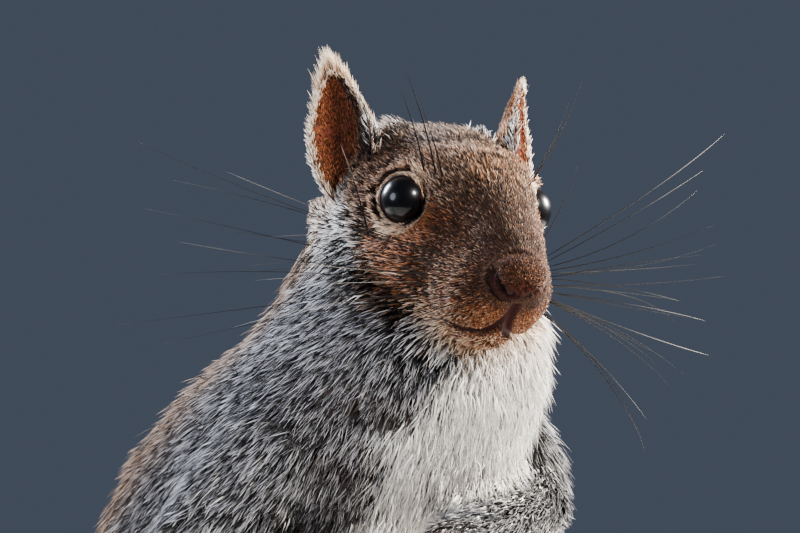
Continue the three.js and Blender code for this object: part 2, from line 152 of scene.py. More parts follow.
# %% Small helpers for shading
class Wire:
    """One socket of a material's tree. Sums, differences and products of wires add Math nodes."""

    def __init__(self, tree, socket=None):
        self.tree = tree
        self.socket = socket

    def node(self, kind, settings=None, sockets=None, out=0):
        made = self.tree.nodes.new(kind)
        for key, value in (settings or {}).items():
            if key == "stops":
                while len(made.color_ramp.elements) < len(value):
                    made.color_ramp.elements.new(1)
                for element, (place, colour) in zip(made.color_ramp.elements, value):
                    element.position = place
                    element.color = (*colour, 1) if np.ndim(colour) else (colour, colour, colour, 1)
            else:
                setattr(made, key, value)
        for key, value in (sockets or {}).items():
            self.put(made.inputs[key], value)
        return Wire(self.tree, made.outputs[out])

    def put(self, target, value):
        if isinstance(value, Wire):
            self.tree.links.new(value.socket, target)
        elif np.ndim(value) and target.type == "RGBA":
            target.default_value = (*value, 1)
        else:
            target.default_value = value

    def math(self, operation, *values):
        return self.node("ShaderNodeMath", {"operation": operation}, dict(enumerate(values)))

    def fraction(self): return self.math("FRACT", self)
    def __add__(self, other): return self.math("ADD", self, other)
    def __sub__(self, other): return self.math("SUBTRACT", self, other)
    def __mul__(self, other): return self.math("MULTIPLY", self, other)
    def __rmul__(self, other): return self.math("MULTIPLY", other, self)

    def ramp(self, start, end, low=0.0, high=1.0):
        """Rises smoothly from low to high as this goes from start to end."""
        return self.node("ShaderNodeMapRange", {"interpolation_type": "SMOOTHSTEP"},
                         {0: self, 1: start, 2: end, 3: low, 4: high})

    def blend(self, first, second):
        """The first colour where this is 0 and the second where it is 1."""
        settings = {"data_type": "RGBA", "clamp_factor": True}
        return self.node("ShaderNodeMix", settings, {0: self, 6: first, 7: second}, out=2)

    def noise(self, scale, detail):
        place = self.node("ShaderNodeTexCoord", out=3)
        sockets = {"Vector": place, "Scale": scale, "Detail": detail, "Roughness": 0.6}
        return self.node("ShaderNodeTexNoise", {}, sockets)

    def bump(self, strength, distance):
        return self.node("ShaderNodeBump", {}, {"Strength": strength, "Distance": distance, "Height": self})


def material(name, **uniform):
    """A new material with one Principled shader; underscores in the names stand for spaces."""
    made = bpy.data.materials.new(name)
    made.use_nodes = True
    shader = next(n for n in made.node_tree.nodes if n.type == "BSDF_PRINCIPLED")
    for key, value in uniform.items():
        socket = shader.inputs[key.replace("_", " ")]
        socket.default_value = (*value, 1) if np.ndim(value) and socket.type == "RGBA" else value
    return made, shader, Wire(made.node_tree)


def attribute(tree, name):
    return tree.node("ShaderNodeAttribute", {"attribute_name": name}, out=2)


print("shading helpers:", ", ".join(name for name in vars(Wire) if name[0] != "_"))

# %% [markdown]
# The studio is a pale round floor under soft lights. A broad light above and to the animal's left gives the
# day's main light, a cool one fills the near side, and two behind light the edges of the fur.

# %% Floor and lights
FLOOR_RADIUS = 0.34
# the way toward each light, how far it stands, its width, its power and its colour
LIGHTS = {
    "day": ((0.7, 0.55, 0.6), 1.2, 0.28, 46, (1.0, 0.95, 0.88)),
    "cool_fill": ((-0.95, 0.25, 0.5), 1.4, 0.7, 17, (0.74, 0.8, 1.0)),
    "edge_right": ((0.95, 0.4, -0.4), 1.1, 0.35, 115, (1.0, 0.96, 0.9)),
    "edge_left": ((-0.8, 0.5, -0.75), 1.1, 0.4, 42, (0.8, 0.88, 1.0)),
}
bm = bmesh.new()
bmesh.ops.create_circle(bm, cap_ends=True, radius=FLOOR_RADIUS, segments=96)
floor_mesh = bpy.data.meshes.new("floor")
bm.to_mesh(floor_mesh)
bm.free()
floor = add_object("floor", floor_mesh)
floor_paint, _, _ = material("pale floor", Base_Color=(0.5, 0.49, 0.47), Roughness=0.8)
floor_mesh.materials.append(floor_paint)

world = bpy.data.worlds.new("studio")
bpy.context.scene.world = world
world.use_nodes = True
sky = world.node_tree.nodes["Background"]
sky.inputs[0].default_value = (0.06, 0.075, 0.105, 1)
sky.inputs[1].default_value = 1.0


def area_light(name, toward, away, size, power, colour):
    """A round light that faces the chest; toward is (right, up, back) as the camera sees it."""
    way = unit(toward[0] * right + toward[1] * upward + toward[2] * back)
    data = bpy.data.lights.new(name, "AREA")
    data.shape = "DISK"
    data.size = size
    data.energy = power
    data.color = colour
    made = add_object(name, data)
    made.location = Vector(aim + way * away)
    made.rotation_euler = Vector(-way).to_track_quat("-Z", "Y").to_euler()


for name, settings in LIGHTS.items():
    area_light(name, *settings)
print("a floor", 2 * FLOOR_RADIUS, "m across and", len(LIGHTS), "lights")

# %% [markdown]
# ## One skin
# The solids of flesh are parted by thin gaps, as a diagram would part them. A live animal has one skin.
# Copies of those solids are swollen until they overlap, and a lump stands for the root of each ear. Then a
# voxel remesh makes one closed surface over them all.

# %% Join and remesh
SIDES = ("right", "left")
LIMB = ("upper_arm", "forearm", "hand", "thigh", "shank", "foot")
FLESH = ["head", "nose", "neck", "chest", "abdomen"] + [f"{part}_{side}" for side in SIDES for part in LIMB]
EARS = ["ear_" + side for side in SIDES]
TAIL = ["tail_root", "tail_middle", "tail_tip"]
VOXEL, SWELL = 0.6 * MM, 0.3 * MM
EAR_LUMP, EAR_LUMP_MIDDLE = (8.5, 4.8, 9.0), np.array((-18.0, 15.5, -3.0))


def pour(source, target):
    """Adds all of one bmesh to another, and frees it."""
    mesh = bpy.data.meshes.new("poured")
    source.to_mesh(mesh)
    source.free()
    target.from_mesh(mesh)
    bpy.data.meshes.remove(mesh)


def add_swollen(bm, node):
    """Adds a welded copy of a solid to bm, swollen along its normals."""
    copy = bmesh.new()
    copy.from_mesh(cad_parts[node].data)
    bmesh.ops.remove_doubles(copy, verts=copy.verts[:], dist=1e-6)
    copy.normal_update()
    for v in copy.verts:
        v.co += v.normal * SWELL
    pour(copy, bm)


def evaluated(made):
    """The mesh of an object after its modifiers."""
    return bpy.data.meshes.new_from_object(made.evaluated_get(bpy.context.evaluated_depsgraph_get()))


bm = bmesh.new()
for node in FLESH:
    add_swollen(bm, node)
for sign in (-1, 1):
    lump = bmesh.ops.create_icosphere(bm, subdivisions=4, radius=1.0)["verts"]
    for v in lump:
        v.co = Vector(from_head(*(np.array(v.co) * EAR_LUMP + EAR_LUMP_MIDDLE * (1, sign, 1))))
solid_mesh = bpy.data.meshes.new("solids")
bm.to_mesh(solid_mesh)
bm.free()
lump = add_object("lump", solid_mesh)
voxels = lump.modifiers.new("voxels", "REMESH")
voxels.mode = "VOXEL"
voxels.voxel_size = VOXEL
skin_mesh = evaluated(lump)
bpy.data.objects.remove(lump)
print("remeshed skin:", len(skin_mesh.vertices), "points")

# %% [markdown]
# ## What lies where
# Every later step asks which part of the animal a point belongs to: how thick the coat is there, how long its
# hairs are, and which way they lie. Each part is given a short line through its middle, with a radius at each
# point. A point belongs to the part whose line is nearest for its radius, and the parts fade into each other.

# %% Lines through the parts
def mirrored(line):
    return [(-x, y, z, r) for x, y, z, r in line]


def head_line(*stations):
    return [(*(from_head(a, s, u) / MM), r) for a, s, u, r in stations]


BODY_LINES = {
    "head": [head_line((-20, 0, -7, 22), (-4, 0, -9, 22), (8, 0, -9, 17), (28, 0, -9, 6.5))],
    "ear": [head_line((-21.5, s, -6, 8.5), (-32.5, s * 1.3, 19.5, 9)) for s in (-17.6, 17.6)],
    "neck": [[(-4, -68, 164, 17), (-1, -63, 147, 30)]],
    "trunk": [[(-1, -60, 138, 36), (0, -36, 107, 42), (0, -19, 70, 43), (0, 2, 28, 38), (0, 20, 19, 22)]],
    "upper_arm": [[(28, -60, 127, 13), (29, -75, 111, 10)], [(-28, -56, 126, 13), (-43.5, -39, 100, 10)]],
    "forearm": [[(27, -78, 110, 9), (-17, -88, 103.5, 6)], [(-44.5, -36, 97, 9), (-34, -72, 99, 6)]],
    "hand": [[(-17.5, -88.3, 103, 6), (-25.5, -89.5, 101, 5), (-34, -87, 96, 3)],
             [(-34, -73, 98, 6), (-30, -78.5, 92.5, 5), (-22.5, -85.5, 84.5, 3)]],
}
THIGH = [(23, 2, 42, 27), (33, -20, 41, 31), (38, -42, 40, 24)]
SHANK = [(41, -48, 30, 13), (39, -33, 19, 11), (36.5, -18, 10, 8)]
FOOT = [(36, -16, 8, 7), (37.5, -34, 6, 6.5), (41, -60, 4, 5), (42, -72, 2.5, 4)]
for part, line in (("thigh", THIGH), ("shank", SHANK), ("foot", FOOT)):
    BODY_LINES[part] = [line, mirrored(line)]
PARTS = list(BODY_LINES)
PART_FADE = 2.5 * MM


def nearest_on_line(points, line):
    """Distance beyond the line's radius, and the line's direction, for each point."""
    line = np.array(line) * MM
    best = np.full(len(points), 1e9)
    way = np.zeros_like(points)
    for a, b in zip(line[:-1], line[1:]):
        step = b[:3] - a[:3]
        t = np.clip((points - a[:3]) @ step / (step @ step), 0, 1)
        off = np.linalg.norm(points - a[:3] - t[:, None] * step, axis=1) - (a[3] + t * (b[3] - a[3]))
        closer = off < best
        best[closer] = off[closer]
        way[closer] = unit(step)
    return best, way


def belonging(points):
    """Each point's share in each part, and the way that the part's line runs there."""
    shares, ways = [], []
    for part in PARTS:
        found = [nearest_on_line(points, line) for line in BODY_LINES[part]]
        beyond = np.stack([f[0] for f in found])
        pick = beyond.argmin(axis=0)
        shares.append(beyond.min(axis=0))
        ways.append(np.stack([f[1] for f in found])[pick, np.arange(len(points))])
    shares = np.exp(-(np.array(shares) - np.min(shares, axis=0)) / PART_FADE).T
    return shares / shares.sum(axis=1, keepdims=True), np.array(ways).transpose(1, 0, 2)


print("parts:", ", ".join(PARTS))

# %% [markdown]
# An ear is a leaf curled into a cup. Inside the cup the hair is sparse and short, and the skin's warm brown
# shows. Along the rim and at the tip stands a pale fringe. The place of a point on the leaf says which of
# these it is.

# %% Places on an ear
EAR_ROOT, EAR_TIP, EAR_HALF = np.array([-19.0, 18.0, -4.0]), np.array([-31.7, 22.4, 19.0]), 9.2
EAR_OPENS = math.radians(46)
EAR_AXIS = EAR_TIP - EAR_ROOT
EAR_CUP = np.array([math.cos(EAR_OPENS), math.sin(EAR_OPENS), 0])
EAR_CUP = unit(EAR_CUP - (EAR_CUP @ EAR_AXIS) / (EAR_AXIS @ EAR_AXIS) * EAR_AXIS)
EAR_ACROSS = unit(np.cross(EAR_AXIS, EAR_CUP))


def rise(value, start, end):
    t = np.clip((value - start) / (end - start), 0, 1)
    return t * t * (3 - 2 * t)


def ear_form(h):
    """Half the leaf's width, its curl to each side and the radius of its bow, for each height from 0 to 1."""
    half = EAR_HALF * (1 - 0.98 * h * h) ** 0.75 * (0.3 + 1.85 * h * (1 - 0.55 * h))
    curl = np.radians(88 - 46 * h)
    return half, curl, half / np.sin(curl)


def ear_sheet(h, across, over=0.0):
    """A point of the leaf in the head's directions: across is -1 to 1, over is the height over the leaf."""
    _, curl, bow = ear_form(h)
    bend = across * curl
    sideways, up_cup = (bow - over) * np.sin(bend), 0.65 * bow - (bow - over) * np.cos(bend)
    up_ear = np.outer(1.1 * h - 0.1, EAR_AXIS)
    return EAR_ROOT + up_ear + np.outer(sideways, EAR_ACROSS) + np.outer(up_cup, EAR_CUP)


def ear_place(points, normals):
    """How far up the ear, how near its rim (1 at the rim, minus on the inner side), and whether inside."""
    place = in_head(points)
    sign = np.sign(place[:, 1])
    place[:, 1] = np.abs(place[:, 1])
    facing = normals @ HEAD_AXES
    facing[:, 1] *= sign
    h = np.clip(((place - EAR_ROOT) @ EAR_AXIS / (EAR_AXIS @ EAR_AXIS) + 0.1) / 1.1, 0, 1)
    _, curl, bow = ear_form(h)
    middle_of_bow = EAR_ROOT + np.outer(1.1 * h - 0.1, EAR_AXIS) + np.outer(0.65 * bow, EAR_CUP)
    edge = np.arctan2((place - EAR_ROOT) @ EAR_ACROSS, (middle_of_bow - place) @ EAR_CUP) / curl
    inside = np.sum((middle_of_bow - place) * facing, axis=1) > 0
    return h, edge, inside


def ear_rim(h, edge):
    return np.maximum(rise(np.abs(edge), 0.84, 0.96), rise(h, 0.93, 0.99))


EAR = PARTS.index("ear")
print("an ear's leaf is", round(2 * float(ear_form(np.linspace(0, 1, 50))[0].max()), 1), "mm wide")

# %% [markdown]
# The skin lies under the coat by the coat's own depth: deep on the trunk, thin on the muzzle, and nothing
# on the soles. The depth, length, width and slope of the hairs are one table for the parts. On the head
# they change from place to place, so there they are given at named places and blended between them.

# %% The coat's measurements
# part: depth of coat, length of hair, width of tuft, slope off the skin in degrees
COAT = {
    "head": (2.0, 5.0, 0.30, 18),
    "ear": (0.1, 2.0, 0.22, 16),
    "neck": (3.8, 5.6, 0.27, 24),
    "trunk": (5.2, 8.0, 0.33, 26),
    "upper_arm": (3.0, 8.0, 0.36, 20),
    "forearm": (1.8, 6.0, 0.34, 18),
    "hand": (0.4, 2.4, 0.26, 12),
    "thigh": (5.6, 9.0, 0.40, 18),
    "shank": (2.6, 7.5, 0.42, 18),
    "foot": (0.5, 3.2, 0.30, 12),
}
# place on the head: ahead, to the side, up, reach; then depth, length, width, slope
FACE = {
    "nose rim": (29, 4, -9, 5, 0.35, 1.4, 0.20, 13),
    "bridge": (20, 0, 2, 7, 0.6, 2.4, 0.22, 14),
    "muzzle side": (16, 10, -4, 7, 0.6, 2.4, 0.22, 14),
    "whisker pad": (22, 9, -13, 7, 0.8, 2.8, 0.23, 14),
    "upper lip": (28, 4, -15.5, 4, 0.5, 1.5, 0.20, 15),
    "lower lip": (25, 2, -22, 3.5, 0.6, 1.6, 0.20, 16),
    "chin": (20, 0, -25.5, 7, 1.0, 3.0, 0.24, 18),
    "inner eye": (6, 13, -3, 5, 0.5, 2.2, 0.20, 16),
    "under eye": (2, 18, -9, 6, 0.9, 3.2, 0.23, 14),
    "brow": (0, 12, 8, 7, 0.8, 3.0, 0.24, 15),
    "behind eye": (-9, 19, 0, 6, 1.2, 3.6, 0.25, 15),
    "forehead": (6, 0, 11, 9, 1.5, 3.4, 0.24, 16),
    "crown": (-12, 0, 14, 10, 2.8, 4.4, 0.25, 20),
    "cheek": (2, 18, -18, 9, 2.4, 5.4, 0.28, 18),
    "jaw": (8, 8, -28, 8, 2.2, 5.0, 0.28, 20),
    "dark brow": (6, 10, 6, 4.5, 0.8, 2.8, 0.23, 15),
    "ear tuft": (-22.5, 12.5, 13, 5.2, 2.2, 7.4, 0.20, 54),
    "back of cheek": (-14, 20, -16, 10, 3.0, 5.6, 0.25, 18),
    "nape": (-28, 8, -2, 12, 3.8, 5.6, 0.27, 16),
    "throat": (-6, 0, -30, 12, 3.4, 6.8, 0.32, 22),
}


FACE_PLACES = np.array([row[:4] for row in FACE.values()])
FACE_COAT = np.array([row[4:] for row in FACE.values()])
FACE_BLEND = 1.6


def face_shares(points):
    """How near each point is to each named place on the head, in shares that don't yet add up to 1."""
    place = in_head(points)
    place[:, 1] = np.abs(place[:, 1])
    off = np.linalg.norm(place[:, None] - FACE_PLACES[None, :, :3], axis=2) / FACE_PLACES[:, 3]
    least = off.min(axis=1, keepdims=True)
    return np.exp(-FACE_BLEND * (off - least) * (off + least))


def coat_at(points, shares):
    """Depth, length and width in metres, and slope in radians, at each point."""
    found = shares @ np.array([COAT[part] for part in PARTS])
    near = face_shares(points)
    face = near / near.sum(axis=1, keepdims=True) @ FACE_COAT
    head = shares[:, PARTS.index("head")][:, None]
    found = found + head * (face - np.array(COAT["head"]))
    return found[:, 0] * MM, found[:, 1] * MM, found[:, 2] * MM, np.radians(found[:, 3])


print("coat depths:", {part: COAT[part][0] for part in PARTS})

# %% [markdown]
# Smoothing and every later field work on plain arrays, because the skin has too many points for loops. A
# point moves toward the middle of its neighbours, and the same step spreads a direction field evenly over
# the skin. Long smoothing takes the facets off the trunk, and a short one keeps the face and toes.

# %% Arrays of the skin
def rows_of(items, key, width, kind=float):
    """One value of every point, edge or face of a mesh, as rows of an array."""
    flat = np.zeros(len(items) * width, kind)
    items.foreach_get(key, flat)
    return flat.reshape(-1, width)


def points_of(mesh): return rows_of(mesh.vertices, "co", 3)
def normals_of(mesh): return rows_of(mesh.vertex_normals, "vector", 3)
def edges_of(mesh): return rows_of(mesh.edges, "vertices", 2, np.int32)


def put_points(mesh, points):
    mesh.vertices.foreach_set("co", points.ravel())
    mesh.update()


def spread(values, edges, rounds):
    """Moves each row of values halfway toward the mean of its neighbours' rows, as often as rounds says."""
    ends = np.concatenate([edges[:, 0], edges[:, 1]])
    starts = np.concatenate([edges[:, 1], edges[:, 0]])
    count = np.bincount(ends, minlength=len(values))[:, None]
    for _ in range(rounds):
        total = np.stack([np.bincount(ends, column[starts], len(values)) for column in values.T], axis=1)
        values = values + 0.5 * (total / np.maximum(count, 1) - values)
    return values


def fine_share(shares):
    """How much of each point belongs to the parts with fine forms, as one column."""
    return shares[:, [PARTS.index(p) for p in ("head", "ear", "hand", "foot")]].sum(axis=1)[:, None]


LIGHT_ROUNDS, LONG_ROUNDS = 4, 45
skin_edges = edges_of(skin_mesh)
raw = points_of(skin_mesh)
fine = fine_share(belonging(raw)[0])
once = spread(raw, skin_edges, LIGHT_ROUNDS)
much = spread(once, skin_edges, LONG_ROUNDS)
put_points(skin_mesh, much + np.clip(fine * 1.3, 0, 1) * (once - much))
print("smoothed", len(raw), "points")

# %% [markdown]
# ## From the coat's outline to the skin
# The smoothed surface is still the outline of the coat. It moves in by the coat's depth. The soles keep their
# place, since the animal stands on bare pads.

# %% Move in by the coat's depth
SOLE, LEAST_UP = 3.0 * MM, 0.1 * MM
DEPTH_ROUNDS, SKIN_ROUNDS = 24, 12
outline = points_of(skin_mesh)
outward = spread(normals_of(skin_mesh), skin_edges, 3)
depth = coat_at(outline, belonging(outline)[0])[0]
sole = (outline[:, 2] < SOLE) & (outward[:, 2] < -0.3)
depth = np.where(sole, 0.0, depth)
depth = spread(depth[:, None], skin_edges, DEPTH_ROUNDS)[:, 0]
skin_points = outline - unit(outward) * depth[:, None]
skin_points[:, 2] = np.maximum(skin_points[:, 2], LEAST_UP)
skin_points = skin_points + (1 - fine) * (spread(skin_points, skin_edges, SKIN_ROUNDS) - skin_points)
print("coat depth from", round(depth.min() / MM, 1), "to", round(depth.max() / MM, 1), "mm")

# %% [markdown]
# ## Eyes and lids
# A squirrel's eye is a big dark ball that stands out of the side of the head, and the lids hug it. The lids
# follow a ring of directions seen from the middle of the eyeball. Its width is given for a few turns round
# the eye and made smooth between them.

# %% The lids' opening
EYE_RADIUS = (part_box("eye_right")[1][2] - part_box("eye_right")[0][2]) / 2
EYE_TURN, EYE_RISE = math.radians(42), math.radians(15)
LID = 0.3 * MM
CORNER_TURN, CORNER_WIDE = -0.19, 0.24
# turn round the eye from its front over its top, and half the opening that way, all in degrees
OPENING = {-150: 66, -115: 68, -82: 68, -52: 62, -30: 65, -11: 77,
           9: 58, 36: 50, 69: 49, 103: 55, 130: 63, 170: 66}
WAVES_KEPT = 14
turns = np.arange(-180, 180)
halves = np.interp(turns, list(OPENING), list(OPENING.values()), period=360)
halves = np.real(np.fft.ifft(np.fft.fft(halves) * np.exp(-(np.fft.fftfreq(360) * 360 / WAVES_KEPT) ** 2)))


def eye_directions(side):
    """Out of the eye, toward its front corner and up, as one matrix of rows."""
    sign = 1 if side == "left" else -1
    out = HEAD_AXES @ np.array([
        math.cos(EYE_RISE) * math.cos(EYE_TURN),
        sign * math.cos(EYE_RISE) * math.sin(EYE_TURN),
        math.sin(EYE_RISE),
    ])
    front = unit(AHEAD - (AHEAD @ out) * out)
    up = np.cross(front, out) * sign
    return np.stack([out, front, up])


def opening(around):
    """Half the opening, in radians from the eye's axis; around is 0 in front and a quarter turn on top."""
    return np.radians(np.interp(np.degrees(around), turns, halves, period=360))


def eye_corner(around):
    """1 toward the front corner of the lids, fading to both sides."""
    return np.exp(-((np.angle(np.exp(1j * (around - CORNER_TURN))) / CORNER_WIDE) ** 2))


def eye_polar(points, side):
    """Distance from the eye's middle, angle around its axis, and how far outside the opening."""
    axes = eye_directions(side)
    place = (points - eye_middle[side]) @ axes.T
    reach = np.linalg.norm(place, axis=1)
    off = np.arccos(np.clip(place[:, 0] / np.maximum(reach, 1e-9), -1, 1))
    around = np.arctan2(place[:, 2], place[:, 1])
    return reach, around, off - opening(around)


print("the opening is", round(2 * halves.min()), "to", round(2 * halves.max()), "degrees wide")

# %% [markdown]
# Now the skin round each eye is moved along the eye's own axis, as a height over the plane that cuts the
# ball's middle. Inside the opening it goes under the ball. Outside, it is raised most at the opening's
# edge, less a little way off, and less toward the nose.

# %% The skin round the eyes
LID_REACH, LID_CLEAR, BEHIND_BALL = 2.4 * MM, 0.15 * MM, 0.9 * MM
# in radii of the eyeball: how far behind its middle and how far aside the skin still moves, and the lids'
# least height
SKIN_BEHIND, SKIN_ASIDE, LEAST_HEIGHT = 0.4, 2.6, 0.3
put_points(skin_mesh, skin_points)
facing = normals_of(skin_mesh)
for side in SIDES:
    out = eye_directions(side)[0]
    place = (skin_points - eye_middle[side]) @ eye_directions(side).T
    height, flat = place[:, 0], np.hypot(place[:, 1], place[:, 2])
    beyond = flat - EYE_RADIUS * np.sin(opening(np.arctan2(place[:, 2], place[:, 1])))
    near = (height > -SKIN_BEHIND * EYE_RADIUS) & (flat < SKIN_ASIDE * EYE_RADIUS)
    under = np.sqrt(np.maximum(EYE_RADIUS ** 2 - flat ** 2, 0)) - BEHIND_BALL
    over = np.sqrt(np.maximum((EYE_RADIUS + LID) ** 2 - flat ** 2, (LEAST_HEIGHT * EYE_RADIUS) ** 2))
    toward_nose = rise(place[:, 1] / flat, 0.3, 0.9)
    fade = np.exp(-(np.maximum(beyond, 0) / LID_REACH) ** 2) * (1 - 0.45 * toward_nose)
    fade = fade * rise(facing @ out, 0.0, 0.3)
    raised = height + fade * (over - height)
    goal = np.where(beyond < LID_CLEAR, np.minimum(height, under), raised)
    skin_points = skin_points + np.outer(np.where(near, goal - height, 0), out)
print("eyeballs", round(2 * EYE_RADIUS / MM, 1), "mm across")

# %% [markdown]
# The mouth is a fine dark line that starts under the nose, drops to the edge of the lips and runs back
# along each side. A groove along that line parts the lips. It is carved in the skin, so that the fur can
# stop at its edges. The skin also draws back under the nose pad, which is made later.

# %% The mouth line
# ahead, to the side, up, from the notch under the nose to the corner
MOUTH_LINE = [(31.6, 0, -12.6), (30.4, 0.1, -14.2), (29.2, 0.2, -15.6), (27.6, 0.7, -17.2), (26, 1.3, -18.7),
              (24.6, 2.2, -19.8), (22.6, 3.6, -20.3), (20.4, 5, -20.7), (17.8, 6.6, -21.1), (15.2, 8, -21.2)]
LIP_GAP, LIP_DEEP = 1.2, 1.6
PAD_DRAWN_IN, PAD_BEHIND = 0.9, 1.5
MUZZLE_ASIDE = -0.8
NOSE_SIZE = (3.9, 5.7, 4.7)
NOSE_MIDDLE = (30.5, MUZZLE_ASIDE, -7.1)


def laid_on_skin(line, points, normals):
    """The same line with each point moved to the nearest point of the skin, and the skin's way out there."""
    place = in_head(points) - (0, MUZZLE_ASIDE, 0)
    kept = (place[:, 0] > 8) & (np.abs(place[:, 1]) < 16)
    place, facing = place[kept], (normals @ HEAD_AXES)[kept]
    nearest = [np.linalg.norm(place - p, axis=1).argmin() for p in np.array(line, float)]
    return place[nearest], facing[nearest]


def from_mouth(points):
    """Millimetres from the mouth line, at any depth below the skin, and how far back along it."""
    place = in_head(points) - (0, MUZZLE_ASIDE, 0)
    place[:, 1] = np.abs(place[:, 1])
    best = np.full(len(points), 1e9)
    share = np.zeros(len(points))
    for i in range(len(mouth) - 1):
        step = mouth[i + 1] - mouth[i]
        t = np.clip((place - mouth[i]) @ step / (step @ step), 0, 1)
        rest = place - mouth[i] - t[:, None] * step
        rest = rest - np.outer(np.clip(rest @ mouth_facing[i], -2.5, 2.5), mouth_facing[i])
        off = np.linalg.norm(rest, axis=1)
        share = np.where(off < best, (i + t) / (len(mouth) - 1), share)
        best = np.minimum(best, off)
    return best, share


def along_mouth(points):
    """The way back along the mouth line from each point's nearest place on it."""
    place = from_mouth(points)[1] * (len(mouth) - 1)
    steps = np.gradient(mouth, axis=0)
    way = np.stack([np.interp(place, np.arange(len(mouth)), column) for column in steps.T], axis=1)
    way[:, 1] *= np.sign(in_head(points)[:, 1] - MUZZLE_ASIDE)
    return unit(way @ HEAD_AXES.T)


def nose_reach(points):
    """1 on the surface of the nose pad's plain ball, more outside it, less inside."""
    return np.linalg.norm((in_head(points) - NOSE_MIDDLE) / NOSE_SIZE, axis=1)


put_points(skin_mesh, skin_points)
mouth, mouth_facing = laid_on_skin(MOUTH_LINE, skin_points, normals_of(skin_mesh))
print("mouth line lay off the skin by", np.linalg.norm(mouth - MOUTH_LINE, axis=1).round(1), "mm")
mouth[:, 1] = np.maximum(mouth[:, 1], 0)
in_pad = (nose_reach(skin_points) < 1.06) & (in_head(skin_points)[:, 0] > NOSE_MIDDLE[0] - 2.0)
centre = from_head(*NOSE_MIDDLE) - PAD_BEHIND * MM * AHEAD
skin_points = np.where(in_pad[:, None], centre + (skin_points - centre) * PAD_DRAWN_IN, skin_points)
put_points(skin_mesh, skin_points)
gap, share = from_mouth(skin_points)
carve = LIP_DEEP * np.clip(1 - (gap / LIP_GAP) ** 2, 0, 1) * (1 - 0.6 * share ** 3)
skin_points = skin_points - normals_of(skin_mesh) * carve[:, None] * MM
put_points(skin_mesh, skin_points)
mouth_length = float(np.linalg.norm(np.diff(mouth, axis=0), axis=1).sum())
print("mouth line is", round(mouth_length, 1), "mm long on each side")

# %% [markdown]
# The lids are a thin band laid on the eyeball, with a rolled edge round the opening. A flat grid is wrapped
# into the band: one way it goes round the opening, the other way round the band's section. Lids and ears
# join the skin's mesh later, and hair grows on them too.

# %% The lids
# angle outside the opening in radians, height over the eyeball in millimetres
LID_SECTION = [(0.1, -0.35), (0.03, -0.05), (0.0, 0.06), (-0.005, 0.16), (0.015, 0.26), (0.05, 0.3),
               (0.14, 0.31), (0.24, 0.33), (0.34, 0.35), (0.44, 0.33), (0.52, 0.1), (0.5, -0.35), (0.3, -0.5)]
LID_STEPS = 96


def pour_sheet(sheet, bm):
    """Welds a wrapped grid where its ends meet, turns its faces outward and adds it to bm."""
    bmesh.ops.remove_doubles(sheet, verts=sheet.verts[:], dist=1e-6)
    bmesh.ops.holes_fill(sheet, edges=[e for e in sheet.edges if e.is_boundary])
    bmesh.ops.recalc_face_normals(sheet, faces=sheet.faces[:])
    pour(sheet, bm)


def add_lids(bm, side):
    ring = bmesh.new()
    rows = len(LID_SECTION)
    bmesh.ops.create_grid(ring, x_segments=LID_STEPS, y_segments=rows, size=0.5)
    out, front, up = eye_directions(side)
    for v in ring.verts:
        around = 2 * math.pi * (v.co.x + 0.5)
        outside, over = LID_SECTION[round((v.co.y + 0.5) * rows) % rows]
        off = float(opening(np.array(around))) + outside
        way = math.cos(off) * out + math.sin(off) * (math.cos(around) * front + math.sin(around) * up)
        v.co = Vector(eye_middle[side] + way * (EYE_RADIUS + over * MM))
    pour_sheet(ring, bm)


lid_reach = math.degrees(max(outside for outside, _ in LID_SECTION))
print("a lid's band reaches", round(lid_reach), "degrees past the opening")

# %% [markdown]
# An ear is too thin for the voxels of the remesh, so each ear is made as its own sheet. A grid is wrapped
# round the leaf: one way it goes up the ear, the other way across the back and home across the cup. The
# sheet is thickest in its middle and thin at its rim, and its root sinks into the head.

# %% The ears' sheets
EAR_ROWS, EAR_COLUMNS, EAR_THICK = 46, 72, 0.62


def add_ear(bm, sign):
    ear = bmesh.new()
    bmesh.ops.create_grid(ear, x_segments=EAR_COLUMNS, y_segments=EAR_ROWS, size=0.5)
    flat = np.array([v.co for v in ear.verts])
    h = flat[:, 1] + 0.5
    turn = 2 * math.pi * (flat[:, 0] + 0.5)
    thick = EAR_THICK * (1 - 0.45 * h)
    place = ear_sheet(h, np.cos(turn), np.sin(turn) * thick) * (1, sign, 1)
    for v, p in zip(ear.verts, place):
        v.co = Vector(from_head(*p))
    pour_sheet(ear, bm)


print("an ear's sheet is", 2 * EAR_THICK, "mm thick")

# %% [markdown]
# ## Thin out the body's skin
# The face, ears and paws need small faces and the trunk doesn't, since its coat hides it. A Decimate
# modifier with a vertex group takes faces from the trunk alone. Small loose pieces that the remesh left are
# removed, and then the ears and the lids join the skin.

# %% Thin the trunk, then join the ears and lids
SKIN_KEEP = 0.3
CRUMB = 400


def finished_mesh(bm, name):
    mesh = bpy.data.meshes.new(name)
    bm.to_mesh(mesh)
    bm.free()
    mesh.shade_smooth()
    return mesh


def without_crumbs(bm):
    """Removes every loose piece with fewer points than CRUMB, and says how many points went."""
    seen, crumbs = set(), []
    for start in bm.verts:
        if start in seen:
            continue
        piece, front = [start], [start]
        seen.add(start)
        while front:
            beside = {e.other_vert(v): None for v in front for e in v.link_edges}
            front = [v for v in beside if v not in seen]
            seen.update(front)
            piece += front
        if len(piece) < CRUMB:
            crumbs += piece
    bmesh.ops.delete(bm, geom=crumbs, context="VERTS")
    return len(crumbs)


